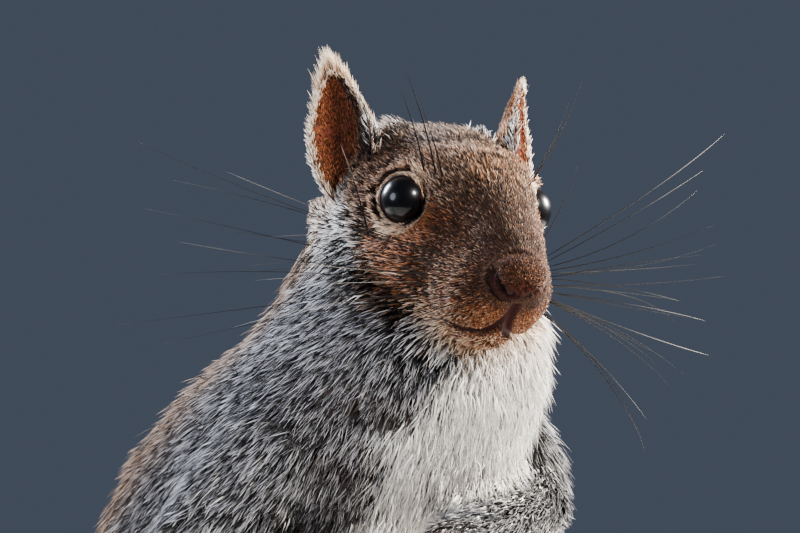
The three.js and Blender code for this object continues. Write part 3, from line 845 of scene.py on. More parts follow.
skin = add_object("squirrel_skin", skin_mesh)
fine = fine_share(belonging(points_of(skin_mesh))[0])[:, 0]
coarse = skin.vertex_groups.new(name="coarse")
for weight in (0.4, 0.6, 0.8, 1.0):
    coarse.add(np.nonzero(fine <= 1.2 - weight)[0].tolist(), weight, "REPLACE")
thin = skin.modifiers.new("thin", "DECIMATE")
thin.ratio = SKIN_KEEP
thin.vertex_group = "coarse"
thinned = evaluated(skin)
skin.modifiers.clear()
skin.vertex_groups.clear()
bm = bmesh.new()
bm.from_mesh(thinned)
print("crumbs removed:", without_crumbs(bm), "points")
for sign in (-1, 1):
    add_ear(bm, sign)
for side in SIDES:
    add_lids(bm, side)
bmesh.ops.triangulate(bm, faces=bm.faces[:])
bare_mesh = bpy.data.meshes.new("bare")
bm.to_mesh(bare_mesh)
skin.data = finished_mesh(bm, "squirrel_skin")
print("skin:", len(skin.data.polygons), "triangles")

# %% [markdown]
# ## Which way the coat lies
# Hair on the face spreads back from the nose, parts round each eye and follows the lips. Behind the crown
# it turns down. On the neck and trunk it runs toward the tail, and on each limb toward the toes. These ways
# are mixed by how much a point belongs to each part, laid flat on the skin and then spread until they turn
# smoothly.

# %% The lie of the coat
NOSE_TIP = (33.0, 0.0, -6.0)
LIE_ROUNDS = 14


def laid_flat(way, normals):
    """What is left of each way when the part along the normal is taken off."""
    return way - np.sum(way * normals, axis=1, keepdims=True) * normals


def lie_of_coat(points, normals, shares, ways, edges):
    part_way = ways.copy()
    head = PARTS.index("head")
    from_nose = unit(points - from_head(*NOSE_TIP))
    down_neck = rise(-in_head(points)[:, 0], 10, 24)[:, None] * CROWN
    part_way[:, head] = unit(from_nose - 0.25 * AHEAD - down_neck)
    mixed = unit(laid_flat(np.einsum("np,npk->nk", shares, part_way), normals))
    for side in SIDES:
        reach, around, outside = eye_polar(points, side)
        away = unit(points - eye_middle[side])
        pull = np.exp(-np.clip(outside, 0, 3) / 0.3) * (reach < 2 * EYE_RADIUS)
        pull = pull * (1.1 - 0.6 * rise(np.cos(around), 0.0, 0.8))
        mixed = mixed + pull[:, None] * away
    by_mouth = 2.5 * rise(from_mouth(points)[0], 4.0, 1.0)
    mixed = mixed + by_mouth[:, None] * along_mouth(points)
    return unit(laid_flat(spread(mixed, edges, LIE_ROUNDS), normals))


bare_points = points_of(bare_mesh)
bare_normals = normals_of(bare_mesh)
bare_shares, bare_ways = belonging(bare_points)
bare_lie = lie_of_coat(bare_points, bare_normals, bare_shares, bare_ways, edges_of(bare_mesh))
print("lie of the coat laid on", len(bare_points), "points")

# %% [markdown]
# ## Markings
# A grey squirrel is grizzled grey above, with a warm brown wash on the face, along the back and on the
# paws, and white below from the chin down. The markings are three masks, white, russet and dark. Skin and
# coat both use them. The white mask also holds painted light high on the neck, and the dark mask painted
# shade in the shoulder's creases.

# %% Marks of the head and body
# place on the head, in the order of FACE: white, russet, dark
FACE_MARKS = {
    "nose rim": (0.0, 1.0, 0.95), "bridge": (0.0, 0.6, 0.82), "muzzle side": (0.0, 0.8, 0.6),
    "whisker pad": (0.1, 0.75, 0.38), "upper lip": (0.1, 1.0, 0.0), "lower lip": (0.25, 1.0, 0.0),
    "chin": (0.36, 0.95, 0.0), "inner eye": (0.0, 1.0, 0.25), "under eye": (0.0, 1.0, 0.55),
    "brow": (0.0, 0.55, 0.2), "behind eye": (0.0, 0.75, 0.52), "forehead": (0.03, 0.45, 0.08),
    "crown": (0.0, 0.45, 0.42), "cheek": (0.1, 0.9, 0.08), "jaw": (0.9, 0.5, 0.0),
    "dark brow": (0.0, 0.5, 0.55), "ear tuft": (1.0, 0.15, 0.0), "back of cheek": (0.3, 0.2, 0.0),
    "nape": (0.1, 0.2, 0.05), "throat": (1.0, 0.55, 0.0),
}
TUFT_ON_RIGHT = 0.12
# how far round from the front the white ends, how far round the back's warm wash begins, and how soft both
# edges are
WHITE_EDGE, BACK_EDGE = math.radians(36), math.radians(128)
WHITE_SOFT, BACK_FADE = 0.16, (-0.45, 0.35)
# the painted shade in the creases of the shoulder's coat: how far apart its arcs are, how wide and how dark
CREASE_APART, CREASE_HALF, CREASE_SHADE = 13.5, 1.5, 0.95
# the trunk's middle: how far back, how high
SPINE = np.array([(-72, 166), (-63, 145), (-60, 138), (-36, 107), (-19, 70), (2, 28), (10, 0)]) * MM


def masks(white, russet, dark):
    return np.stack(np.broadcast_arrays(white, russet, dark), axis=1)


def painted_crease_shade(points, turn):
    """Painted shade in the creases where the shoulder's coat parts as the neck bends: short dark arcs beside
    the white of the chest.
    """
    height = points[:, 2] / MM
    arc = height + 5 * np.cos((turn - 0.9) * 2.2) + 1.2 * np.sin(turn * 11)
    across = np.abs((arc / CREASE_APART) % 1 - 0.5) * CREASE_APART
    window = rise(turn, 0.5, 0.68) * rise(turn, 1.35, 1.05) * rise(height, 92, 97) * rise(height, 148, 141)
    return CREASE_SHADE * np.exp(-(across / CREASE_HALF) ** 2) * window


def face_marks(points):
    """The named places' marks, blended; the pale tuft behind the ear shows mostly on the left."""
    near = face_shares(points)
    near[:, list(FACE).index("ear tuft")] *= np.where(in_head(points)[:, 1] > 0, 1.0, TUFT_ON_RIGHT)
    return near / near.sum(axis=1, keepdims=True) @ np.array([FACE_MARKS[name] for name in FACE])


def body_marks(points, neck):
    """Grey, with a white front and a warm back, paler fur high on the neck as painted light, and painted
    shade in the shoulder's creases; neck is each point's share in the neck.
    """
    middle_y = np.interp(-points[:, 2], -SPINE[:, 1], SPINE[:, 0])
    turn = np.abs(np.arctan2(points[:, 0] + 2 * MM, middle_y - points[:, 1]))
    wave = 0.09 * np.sin(points[:, 2] / MM * 0.23) + 0.05 * np.sin(points[:, 2] / MM * 0.61 + 1.0)
    belly = rise(turn + wave, WHITE_EDGE + WHITE_SOFT, WHITE_EDGE - WHITE_SOFT)
    back_wash = rise(turn - BACK_EDGE, *BACK_FADE)
    shade_in_crease = painted_crease_shade(points, turn)
    high = rise(points[:, 2], 136 * MM, 150 * MM)
    # Painted light: fur high on the neck, just under the head, is made paler to lift the shade under the
    # cheek.
    neck_painted_light = 0.55 * rise(neck, 0.0, 0.3) * rise(points[:, 2], 128 * MM, 146 * MM)
    throat = belly * rise(points[:, 2], 120 * MM, 150 * MM)
    grizzle = 0.32 - 0.3 * np.maximum(neck, 0.8 * high)
    white = np.maximum(belly * (1 - shade_in_crease), neck_painted_light)
    return masks(white, 0.4 * back_wash + 0.25 * throat, np.maximum(grizzle, shade_in_crease))


print("places marked on the head:", len(FACE_MARKS))

# %% [markdown]
# The limbs are grey outside and paler inside. An ear is brown, with a dark band along the front of its cup
# and a pale rim. A pale ring runs round each eye, and the lips are dark where they meet. All of these are
# mixed by how much a point belongs to each part.

# %% Marks of the limbs, ears, eyes and lips
PAW_MARKS, LIP_MARKS = np.array([0.25, 0.4, 0.0]), np.array([0.0, 1.0, 0.7])
# the eye's ring: where it ends, in radians outside the opening and in radii from the eye's middle
RING_EDGE, RING_END = (0.46, 0.34), (1.7, 1.45)


def limb_marks(points, normals):
    """Grey outside, paler inside and below."""
    inner = rise(-normals[:, 0] * np.sign(points[:, 0]), 0.1, 0.7)
    under = rise(-normals[:, 2], 0.2, 0.8)
    return masks(0.1 + 0.75 * np.maximum(inner * 0.8, under * 0.9), 0.05, 0.0)


def ear_marks(points, normals):
    """Brown outside and in the cup, a dark band along the cup's front, and a pale rim."""
    h, edge, inside = ear_place(points, normals)
    rim = ear_rim(h, edge)
    cup = inside * (1 - rim)
    front_band = cup * rise(-edge, 0.3, 0.55)
    outer = 1 - np.maximum(cup, rim)
    base = rise(h, 0.3, 0.1)
    low_front = rise(-edge, 0.0, 0.4) * np.where(in_head(points)[:, 1] > 0, 1.0, rise(h, 0.85, 0.35))
    rim = rim * (1 - low_front)
    russet = cup - 0.35 * front_band + 0.4 * rim + outer * (0.9 - 0.4 * base)
    return masks(0.85 * rim + outer * (0.1 + 0.3 * base), russet, np.maximum(0.12 * cup, 0.7 * front_band))


def marks_at(points, normals, shares):
    """White, russet and dark, each from 0 to 1, at each point."""
    def share(*parts):
        return sum(shares[:, PARTS.index(part)] for part in parts)[:, None]

    found = share("head") * face_marks(points)
    found = found + share("neck", "trunk") * body_marks(points, share("neck")[:, 0])
    found = found + share("upper_arm", "forearm", "thigh", "shank") * limb_marks(points, normals)
    found = found + share("hand", "foot") * PAW_MARKS + share("ear") * ear_marks(points, normals)
    for side in SIDES:
        reach, around, outside = eye_polar(points, side)
        above = rise(np.sin(around) + 0.3 * np.cos(around), -0.1, 0.7)
        front = rise(np.cos(around), 0.2, 0.8)
        behind = rise(-np.cos(around), -0.1, 0.6)
        ring = rise(outside + 0.14 * behind, *RING_EDGE) * rise(reach / EYE_RADIUS, *RING_END)
        goal = masks(0.9 - 0.15 * above - 0.2 * front - 0.1 * behind, 0.6 + 0.3 * front, 0.0)
        found = found + ring[:, None] * (goal - found)
    by_lips = rise(from_mouth(points)[0], 1.8, 1.0)[:, None] * share("head")
    found = found + 0.85 * by_lips * (LIP_MARKS - found)
    return np.clip(found, 0, 1)


bare_marks = marks_at(bare_points, bare_normals, bare_shares)
print("marks: white over", round(float((bare_marks[:, 0] > 0.5).mean()), 2), "of the skin's points")

# %% [markdown]
# ## Growing the coat
# Each tuft is a closed spike of a few hairs that cling together. It rises from the skin, bends over and
# lies along the coat, and its tip is drawn toward the tip of a nearby leader, which gives locks. All the
# tufts of one piece are worked out together as arrays. First the hairs' measurements are fitted to the
# ears, belly, lips and lids.

# %% Length, width and slope over the skin
CUP_SHORT, CUP_FINE = 0.35, 0.25
BELLY_LONG, BELLY_STEEP = 0.15, 0.5
LIPS_SHORT, LIDS_SHORT, LIDS_FINE = 0.6, 0.5, 0.2
_, bare_length, bare_width, bare_slope = coat_at(bare_points, bare_shares)
h, edge, inside = ear_place(bare_points, bare_normals)
cup = inside * (1 - ear_rim(h, edge)) * bare_shares[:, EAR]
bare_length = bare_length * (1 - CUP_SHORT * cup * rise(edge, -0.6, -0.4))
bare_width = bare_width * (1 - CUP_FINE * cup)
belly = bare_marks[:, 0] * (bare_shares[:, PARTS.index("neck")] + bare_shares[:, PARTS.index("trunk")])
bare_length = bare_length * (1 + BELLY_LONG * belly)
bare_slope = bare_slope * (1 + BELLY_STEEP * belly)
bare_length = bare_length * (1 - LIPS_SHORT * rise(from_mouth(bare_points)[0], 4.0, 0.8))
for side in SIDES:
    reach, _, outside = eye_polar(bare_points, side)
    by_lids = rise(outside, 0.7, 0.1) * rise(reach, 1.9 * EYE_RADIUS, 1.5 * EYE_RADIUS)
    bare_length = bare_length * (1 - LIDS_SHORT * by_lids)
    bare_width = bare_width * (1 - LIDS_FINE * by_lids)
print("hairs from", round(bare_length.min() / MM, 1), "to", round(bare_length.max() / MM, 1), "mm long")

# %% [markdown]
# The number of tufts follows from how many layers of hair should cover the skin. The side that faces the
# visitor, above the belly, has the finest coat. The roots are spread at random over the faces of the skin.

# %% Roots spread over the skin
seen = rise(bare_normals @ back, -0.4, 0.0) * rise(bare_points[:, 2], 90 * MM, 102 * MM)
LAYERS = {"head": 6.0, "ear": 4.0, "neck": 7.0, "trunk": 6.6, "upper_arm": 5.0, "forearm": 5.0, "hand": 3.0,
          "thigh": 4.4, "shank": 4.2, "foot": 3.6}
AWAY_LAYERS, AWAY_WIDE, CUP_BARE = 0.52, 1.6, 0.72
layers = bare_shares @ np.array([LAYERS[part] for part in PARTS])
layers = layers * (AWAY_LAYERS + (1 - AWAY_LAYERS) * seen) * (1 - CUP_BARE * cup * rise(edge, -0.5, -0.25))
bare_width = bare_width * (AWAY_WIDE + (1 - AWAY_WIDE) * seen)
bare_faces = rows_of(bare_mesh.polygons, "vertices", 3, np.int32)
corner = bare_points[bare_faces]
face_area = np.linalg.norm(np.cross(corner[:, 1] - corner[:, 0], corner[:, 2] - corner[:, 0]), axis=1) / 2
per_area = (2 * layers / (bare_length * bare_width))[bare_faces].mean(axis=1)


def roots(zone):
    """Random places on the faces of a zone: face number and the three corner shares."""
    expected = per_area * face_area * zone
    total = int(expected.sum())
    face = rng.choice(len(expected), total, p=expected / expected.sum())
    a, b = rng.random(total), rng.random(total)
    flip = a + b > 1
    a[flip], b[flip] = 1 - a[flip], 1 - b[flip]
    return face, np.stack([1 - a - b, a, b], axis=1)


def at_roots(values, face, share):
    return np.einsum("nk,nk...->n...", share, values[bare_faces[face]])


print("tufts wanted:", int((per_area * face_area).sum()))

# %% [markdown]
# A tuft is a root, a few rings of three points and a tip. The arrays of all the tufts of a piece become one
# mesh. It also carries what the material asks for: how far along its tuft each point is, and the tuft's own
# marks. On the bake map each tuft has a small patch of its own.

# %% Tufts as one mesh
PATCH = 0.003


def put_value(mesh, name, values):
    made = mesh.attributes.new(name, "FLOAT", "POINT")
    made.data.foreach_set("value", np.asarray(values, np.float32))


def tuft_mesh(name, spine, across, over, width, values, patch):
    """One closed spike for each row of spine points. across and over are (n, 3), and width is (n, rings)."""
    n, rings = spine.shape[0], spine.shape[1] - 2
    ring = np.stack([across, -across, 0.8 * over], axis=1)[:, None]
    points = spine[:, 1:-1, None] + ring * (width / 2)[:, :, None, None]
    points = np.concatenate([spine[:, :1], points.reshape(n, rings * 3, 3), spine[:, -1:]], axis=1)
    each = rings * 3 + 2
    faces = [(0, 1 + k, 1 + (k + 1) % 3) for k in range(3)]
    for r in range(rings - 1):
        for k in range(3):
            a, b = 1 + r * 3 + k, 1 + r * 3 + (k + 1) % 3
            faces += [(a, a + 3, b), (b, a + 3, b + 3)]
    last = 1 + (rings - 1) * 3
    faces += [(last + k, each - 1, last + (k + 1) % 3) for k in range(3)]
    faces = np.array(faces)
    corners = points[:, faces]
    volume = np.einsum("nfk,nfk->", corners[:, :, 0], np.cross(corners[:, :, 1], corners[:, :, 2]))
    if volume < 0:
        faces = faces[:, ::-1]
    whole = (faces[None] + (np.arange(n) * each)[:, None, None]).reshape(-1, 3)

    mesh = bpy.data.meshes.new(name)
    mesh.vertices.add(n * each)
    mesh.vertices.foreach_set("co", points.astype(np.float32).ravel())
    mesh.loops.add(len(whole) * 3)
    mesh.loops.foreach_set("vertex_index", whole.astype(np.int32).ravel())
    mesh.polygons.add(len(whole))
    mesh.polygons.foreach_set("loop_start", np.arange(0, len(whole) * 3, 3, dtype=np.int32))
    mesh.update(calc_edges=True)
    mesh.polygons.foreach_set("use_smooth", np.ones(len(whole), bool))
    step = np.concatenate([[0.0], np.repeat(np.arange(1, rings + 1) / (rings + 1), 3), [1.0]])
    put_value(mesh, "along", np.tile(step, n))
    for key, value in values.items():
        put_value(mesh, key, np.repeat(value, each))
    side = np.concatenate([[0.5], np.tile([0.0, 1.0, 0.5], rings), [0.5]])
    uv = patch[:, None] + PATCH * (np.stack([side, step], axis=1)[None] - 0.5)
    layer = mesh.uv_layers.new(name="OFBake")
    layer.data.foreach_set("uv", uv.reshape(-1, 2)[whole.ravel()].astype(np.float32).ravel())
    return mesh


print("tufts have three sides, and six triangles for each ring")

# %% [markdown]
# Each tuft's patch lies where its root lies on the skin, so that tufts that are neighbours stay neighbours
# on the map. Each part of the animal has a tile, and the skin of the part is unrolled round the part's own
# line.

# %% Places on the bake map
NOT_ALONG = [0.31, 0.2, 0.93]


def on_patch(place):
    """Places from 0 to 1 drawn in from the map's edge, so that every patch fits."""
    return place * (1 - 2 * PATCH) + PATCH


def unwrap(points, shares):
    """A place between 0 and 1 for each root: each part's skin is unrolled round its line, on its own tile."""
    pick = shares.argmax(axis=1)
    place = np.zeros((len(points), 2))
    tiles = []
    for index in np.unique(pick):
        lines = BODY_LINES[PARTS[index]]
        off = np.stack([nearest_on_line(points, line)[0] for line in lines]).argmin(axis=0)
        tiles += [((pick == index) & (off == k), np.array(line) * MM) for k, line in enumerate(lines)]
    tiles = [tile for tile in tiles if tile[0].any()]
    columns = math.ceil(math.sqrt(len(tiles)))
    rows = math.ceil(len(tiles) / columns)
    for number, (mask, line) in enumerate(tiles):
        way = unit(line[-1, :3] - line[0, :3])
        side = unit(np.cross(way, NOT_ALONG))
        off = points[mask] - line[0, :3]
        around = np.arctan2(off @ np.cross(way, side), off @ side)
        flat = np.stack([around, off @ way], axis=1)
        flat = (flat - flat.min(axis=0)) / (np.ptp(flat, axis=0) + 1e-9)
        place[mask] = (np.array([number % columns, number // columns]) + 0.02 + 0.96 * flat) / [columns, rows]
    return on_patch(place)


print("each tuft takes a patch", PATCH, "across on the bake map")

# %% [markdown]
# Hairs cling together in locks. A few tufts are leaders, and every other tuft is drawn toward its nearest
# leader, more and more toward the tip. Each piece chooses its own leaders at random.

# %% Locks
LOCK_POWER, LEADERS = 1.5, 0.08


def drawn_together(spine, root, group, hold, seed):
    """Draws each tuft to its nearest leader; group is the leaders' share, hold the pull at each tip."""
    own_rng = np.random.default_rng(seed)
    leaders = own_rng.choice(len(root), max(2, int(len(root) * group)), replace=False)
    tree = kdtree.KDTree(len(leaders))
    for i, leader in enumerate(leaders):
        tree.insert(root[leader], i)
    tree.balance()
    nearest = leaders[[tree.find(p)[1] for p in root]]
    for ring in range(1, spine.shape[1]):
        pull = hold[:, None] * (ring / (spine.shape[1] - 1)) ** LOCK_POWER
        spine[:, ring] += pull * (spine[nearest, ring] - spine[:, ring])
    return spine


print("one tuft in", round(1 / LEADERS), "leads a lock")

# %% [markdown]
# Growing a piece takes its zone of the skin. Roots inside the lids, between the lips, under the bare nose
# and on the soles are left out. A hair whose tip would cross the mouth is cut short, and none goes through
# the floor.

# %% Where hair grows
# in radians outside the opening, in radii of the eyeball, and in millimetres
LID_BARE, CORNER_BARE, LID_NEAR, INNER_NEAR = 0.06, 0.02, 1.35, 1.1
LIP_BARE, NOSE_BARE, SOLE_BARE = 0.75 * LIP_GAP, 1.5, 3.5


def finished_piece(name, mesh, paint, slot, *stands_for):
    """One piece of the visual model, riding on the root and in place of its solids; slot is not used."""
    made = add_object(name, mesh)
    mesh.materials.append(paint)
    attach(made, "root")
    if stands_for:
        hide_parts(*stands_for)
    print(f"{name}: {len(mesh.polygons)} faces")
    return made


def with_hair(root, normal, shares):
    """Whether hair grows at each root."""
    good = from_mouth(root)[0] > LIP_BARE
    for side in SIDES:
        reach, around, outside = eye_polar(root, side)
        good &= ~((outside < LID_BARE + CORNER_BARE * eye_corner(around)) & (reach < LID_NEAR * EYE_RADIUS))
        turned_in = np.sum(normal * (root - eye_middle[side]), axis=1) < 0
        good &= ~(turned_in & (reach < INNER_NEAR * EYE_RADIUS))
    good &= ~((nose_reach(root) < 0.99) & (in_head(root)[:, 0] > NOSE_MIDDLE[0] - NOSE_BARE))
    on_foot = shares[:, PARTS.index("foot")] > 0.4
    return good & ~((root[:, 2] < SOLE_BARE * MM) & (normal[:, 2] < -0.4) & on_foot)


print("no hair within", round(LIP_BARE, 2), "mm of the mouth line")

# %% [markdown]
# Every hair has its own length, width and slope, near those of the skin where it stands. It leaves the skin
# at twice its slope and flattens toward its tip.

# %% Growing one piece
STRETCHES = 2
ROOT_DEEP, FLOOR_CLEAR, CUT = 0.2 * MM, 0.4 * MM, 0.3


def grow(name, zone, hold, seed, stray=0.28):
    """Grows one piece of coat on a zone; hold is how tight its locks are, stray how far hairs turn aside."""
    face, share = roots(zone)
    root = at_roots(bare_points, face, share)
    normal = unit(at_roots(bare_normals, face, share))
    lie = unit(at_roots(bare_lie, face, share))
    shares = at_roots(bare_shares, face, share)
    good = with_hair(root, normal, shares)
    root, normal, lie, shares, face, share = (v[good] for v in (root, normal, lie, shares, face, share))
    n = len(root)
    size = at_roots(bare_length, face, share) * rng.normal(1, 0.16, n).clip(0.5, 1.5)
    wide = at_roots(bare_width, face, share) * rng.normal(1, 0.2, n).clip(0.5, 1.6)
    slope = at_roots(bare_slope, face, share) * rng.normal(1, 0.25, n).clip(0.3, 2.0)
    sway = rng.normal(0, stray, n)[:, None]
    lie = unit(lie * np.cos(sway) + np.cross(normal, lie) * np.sin(sway))
    spine = [root - ROOT_DEEP * normal]
    for stretch in range(STRETCHES):
        lift = 2 * slope * (1 - (stretch + 0.5) / STRETCHES)
        step = lie * np.cos(lift)[:, None] + normal * np.sin(lift)[:, None]
        spine.append(spine[-1] + step * (size / STRETCHES)[:, None])
    spine = np.stack(spine, axis=1)
    at_mouth = np.nonzero(from_mouth(root)[0] < 6)[0]
    tip, start = spine[at_mouth, -1], root[at_mouth]
    cut = at_mouth[np.minimum(from_mouth(tip)[0], from_mouth((tip + start) / 2)[0]) < 0.8]
    spine[cut, 1:] = root[cut, None] + CUT * (spine[cut, 1:] - root[cut, None])
    spine = drawn_together(spine, root, LEADERS, hold * rng.uniform(0.5, 1.4, n), seed)
    spine[:, :, 2] = np.maximum(spine[:, :, 2], FLOOR_CLEAR)
    across = unit(np.cross(normal, spine[:, -1] - spine[:, 0]))
    marks = at_roots(bare_marks, face, share)
    values = {"white": marks[:, 0], "russet": marks[:, 1], "dark": marks[:, 2], "chance": rng.random(n)}
    mesh = tuft_mesh(name, spine, across, normal, wide[:, None], values, unwrap(root, shares))
    finished_piece(name, mesh, fur_paint, "fur_grey")


print("a tuft bends over in", STRETCHES, "stretches")


# %% [markdown]
# ## The coat's colour
# One hair of a grey squirrel is banded: dark slate at the root, then buff, black, and a white tip. Hairs of
# the belly are pale to the root, and those of the face are washed with russet. The shader reads how far
# along the tuft a point is. A number of the tuft's own moves its bands up or down and decides which kind of
# tuft it is, which makes the grizzle.

# %% Fur material
def fur_colour(tree, along, chance, white, russet, dark):
    """Each tuft is a pale, a russet, a dark or a banded one, as often as the masks say."""
    shifted = along + (chance - 0.5) * 0.3
    second = (chance * 13.7).fraction()
    third = (chance * 91.3).fraction()
    shade = (chance * 37.9).fraction()

    def bands(*stops):
        return tree.node("ShaderNodeValToRGB", {"stops": stops}, {0: shifted})

    grey = bands((0.0, (0.004, 0.004, 0.006)), (0.45, (0.01, 0.01, 0.012)), (0.62, (0.02, 0.019, 0.02)),
                 (0.74, (0.24, 0.235, 0.24)), (0.9, (0.82, 0.8, 0.81)))
    ticked = bands((0.0, (0.005, 0.003, 0.002)), (0.45, (0.014, 0.008, 0.005)), (0.62, (0.03, 0.015, 0.008)),
                   (0.74, (0.22, 0.115, 0.06)), (0.92, (0.72, 0.46, 0.29)))
    warm = bands((0.0, (0.006, 0.003, 0.002)), (0.4, (0.024, 0.008, 0.003)), (0.6, (0.14, 0.038, 0.01)),
                 (0.8, (0.4, 0.12, 0.03)), (1.0, (0.68, 0.25, 0.075)))
    pale = bands((0.0, (0.3, 0.29, 0.28)), (0.35, (0.58, 0.56, 0.53)), (0.75, (0.9, 0.87, 0.82)))
    cream = bands((0.0, (0.3, 0.17, 0.1)), (0.4, (0.46, 0.27, 0.15)), (0.75, (0.76, 0.56, 0.38)),
                  (1.0, (0.86, 0.72, 0.55)))
    coat = russet.ramp(0.05, 0.4).blend(grey, ticked)
    coat = (1.5 * (russet - 0.35) - second).ramp(-0.12, 0.12).blend(coat, warm)
    darkened = (dark * 1.1 - second * 0.9 - chance * 0.2).ramp(-0.12, 0.12, 0.0, 0.85)
    coat = darkened.blend(coat, (0.02, 0.009, 0.006))
    coat = shade.ramp(0.3, 1.0, 0.0, 0.55).blend(coat, (0.01, 0.008, 0.008))
    light = russet.ramp(0.15, 0.6).blend(pale, cream)
    return (white * 1.15 - 0.07 - third).ramp(-0.08, 0.08).blend(coat, light)


fur_paint, shader, tree = material("banded fur", Roughness=0.65, Specular_IOR_Level=0.12)
read = [attribute(tree, name) for name in ("along", "chance", "white", "russet", "dark")]
tree.put(shader.inputs["Base Color"], fur_colour(tree, *read))
print("fur material:", len(fur_paint.node_tree.nodes), "nodes")

# %% [markdown]
# The coat is grown in pieces, each on its own zone of the skin. A face of the skin is in the zone of the
# part that it belongs to most. Short locks hold loosely on the face, and tighter on the chest and trunk.

# %% Coat of the head, body and limbs
middle_of_face = corner.mean(axis=1)
strongest = bare_shares[bare_faces].mean(axis=1).argmax(axis=1)
is_part = {name: strongest == i for i, name in enumerate(PARTS)}
right_half = in_head(middle_of_face)[:, 1] < 0
short = bare_length[bare_faces].mean(axis=1) < 3.3 * MM
high = middle_of_face[:, 2] > 92 * MM
animal_right = middle_of_face[:, 0] < -1 * MM

in_front = middle_of_face[:, 0] - middle_of_face[:, 1] > 60 * MM
face, scalp = is_part["head"] & short, is_part["head"] & ~short
mane, low = is_part["neck"] | (is_part["trunk"] & high), is_part["trunk"] & ~high
grow("coat_face_right", face & right_half, 0.15, 11, stray=0.22)
grow("coat_face_left", face & ~right_half, 0.15, 12, stray=0.22)
grow("coat_head_right", scalp & right_half, 0.25, 13, stray=0.22)
grow("coat_head_left", scalp & ~right_half, 0.25, 14, stray=0.22)
grow("coat_mane_right", mane & animal_right & ~in_front, 0.3, 15)
grow("coat_chest", mane & in_front, 0.35, 23)
grow("coat_mane_left", mane & ~animal_right & ~in_front, 0.3, 16)
grow("coat_trunk_right", low & animal_right, 0.4, 17)
grow("coat_trunk_left", low & ~animal_right, 0.4, 18)
grow("coat_legs", is_part["thigh"] | is_part["shank"], 0.25, 19)
grow("coat_arms", is_part["upper_arm"] | is_part["forearm"], 0.35, 20)
grow("coat_paws", is_part["hand"] | is_part["foot"], 0.2, 21)
grow("coat_ears", is_part["ear"], 0.2, 22)

# %% [markdown]
# The rim of each ear has a fringe. Its hairs leave the edge of the leaf outward and upward. They are
# longest and palest at the tip, so that the light comes through them. The left ear's fringe is shorter and
# browner, and so is the fringe of each front edge. Every second tuft is mirrored to the left ear.

# %% Fringe of the ears
FRINGE_TUFTS, FRINGE_WIDE = 5400, 0.15
FRINGE_TIP, FRINGE_BACK, FRINGE_FRONT = 5.2, 2.2, 1.1
RIM_STEPS, AT_BACK = 400, 0.55
heights = np.linspace(0.02, 1, RIM_STEPS)
rim_line = ear_sheet(heights, np.ones(RIM_STEPS))
weight = np.linalg.norm(np.diff(rim_line, axis=0), axis=1) * (0.6 + 1.6 * rise(heights[1:], 0.7, 0.95))
h = np.interp(rng.random(FRINGE_TUFTS), np.concatenate([[0], np.cumsum(weight)]) / weight.sum(), heights)
at_back = rng.random(FRINGE_TUFTS) < AT_BACK
hand = np.where(at_back, 1.0, -1.0)
on_left = np.arange(FRINGE_TUFTS) % 2 == 0
tip = rise(h, 0.72, 0.97)
across_leaf = hand * rng.uniform(0.8 - 1.4 * tip, 1.0)
rim_place = ear_sheet(h, across_leaf)
along_rim = unit(ear_sheet(np.minimum(h + 0.01, 1), across_leaf) - ear_sheet(h - 0.01, across_leaf))
outward = laid_flat(np.outer(hand, EAR_ACROSS), along_rim)
way = unit(outward + 0.02 * EAR_AXIS) * (1 - 0.85 * tip)[:, None]
way = way + np.outer(0.35 + 0.75 * tip, unit(EAR_AXIS))
way = unit(way + rng.normal(0, 0.13, (FRINGE_TUFTS, 3)))
long = np.where(at_back, FRINGE_BACK, FRINGE_FRONT) * (0.7 + 0.5 * h)
long = long + (FRINGE_TIP - FRINGE_BACK) * tip * np.where(on_left, 0.45, 1.0)
long = (long * rng.uniform(0.45, 1.1, FRINGE_TUFTS) * np.where(on_left, 0.8, 1.0))[:, None]
spine = np.stack([rim_place - 0.3 * way, rim_place + 0.5 * long * way,
                  rim_place + long * (way + 0.18 * unit(EAR_AXIS))], axis=1)
flip = np.stack([np.ones(FRINGE_TUFTS), np.where(on_left, 1.0, -1.0), np.ones(FRINGE_TUFTS)], axis=1)
spine = HEAD_ORIGIN + (spine * flip[:, None]) @ HEAD_AXES.T * MM
way, cup_way = (way * flip) @ HEAD_AXES.T, (EAR_CUP * flip) @ HEAD_AXES.T
pale = np.where(at_back, 1.0, rise(h, 0.35, 0.6) * np.where(on_left, 0.0, 0.8))
pale = pale * np.where(on_left, 0.3 + 0.5 * tip, 1.0)
values = {"white": 0.12 + 0.82 * pale, "russet": 0.35 + 0.35 * rise(h, 0.4, 0.9), "dark": 0.3 * (1 - pale),
          "chance": rng.random(FRINGE_TUFTS)}
column = 0.5 + 0.24 * flip[:, 1] * (1 - 0.6 * at_back)
width = FRINGE_WIDE * MM * rng.uniform(0.7, 1.2, FRINGE_TUFTS)[:, None]
mesh = tuft_mesh("coat_fringe", spine, unit(np.cross(cup_way, way)), cup_way, width, values,
                 on_patch(np.stack([column, h], axis=1)))
finished_piece("coat_fringe", mesh, fur_paint, "fur_white")

# %% [markdown]
# ## Skin, eyes, nose and claws
# The skin shows only where hair is thin: on the lips, round the eyes, in the ears and on the paws.
# Elsewhere it is the dark ground under the coat. It takes the same marks as the coat, and four more of its
# own: the lips, the rim of the lids, the cup of the ear and the leather round the nose.

# %% Marks of the skin
LIPS_WIDE = 1.3
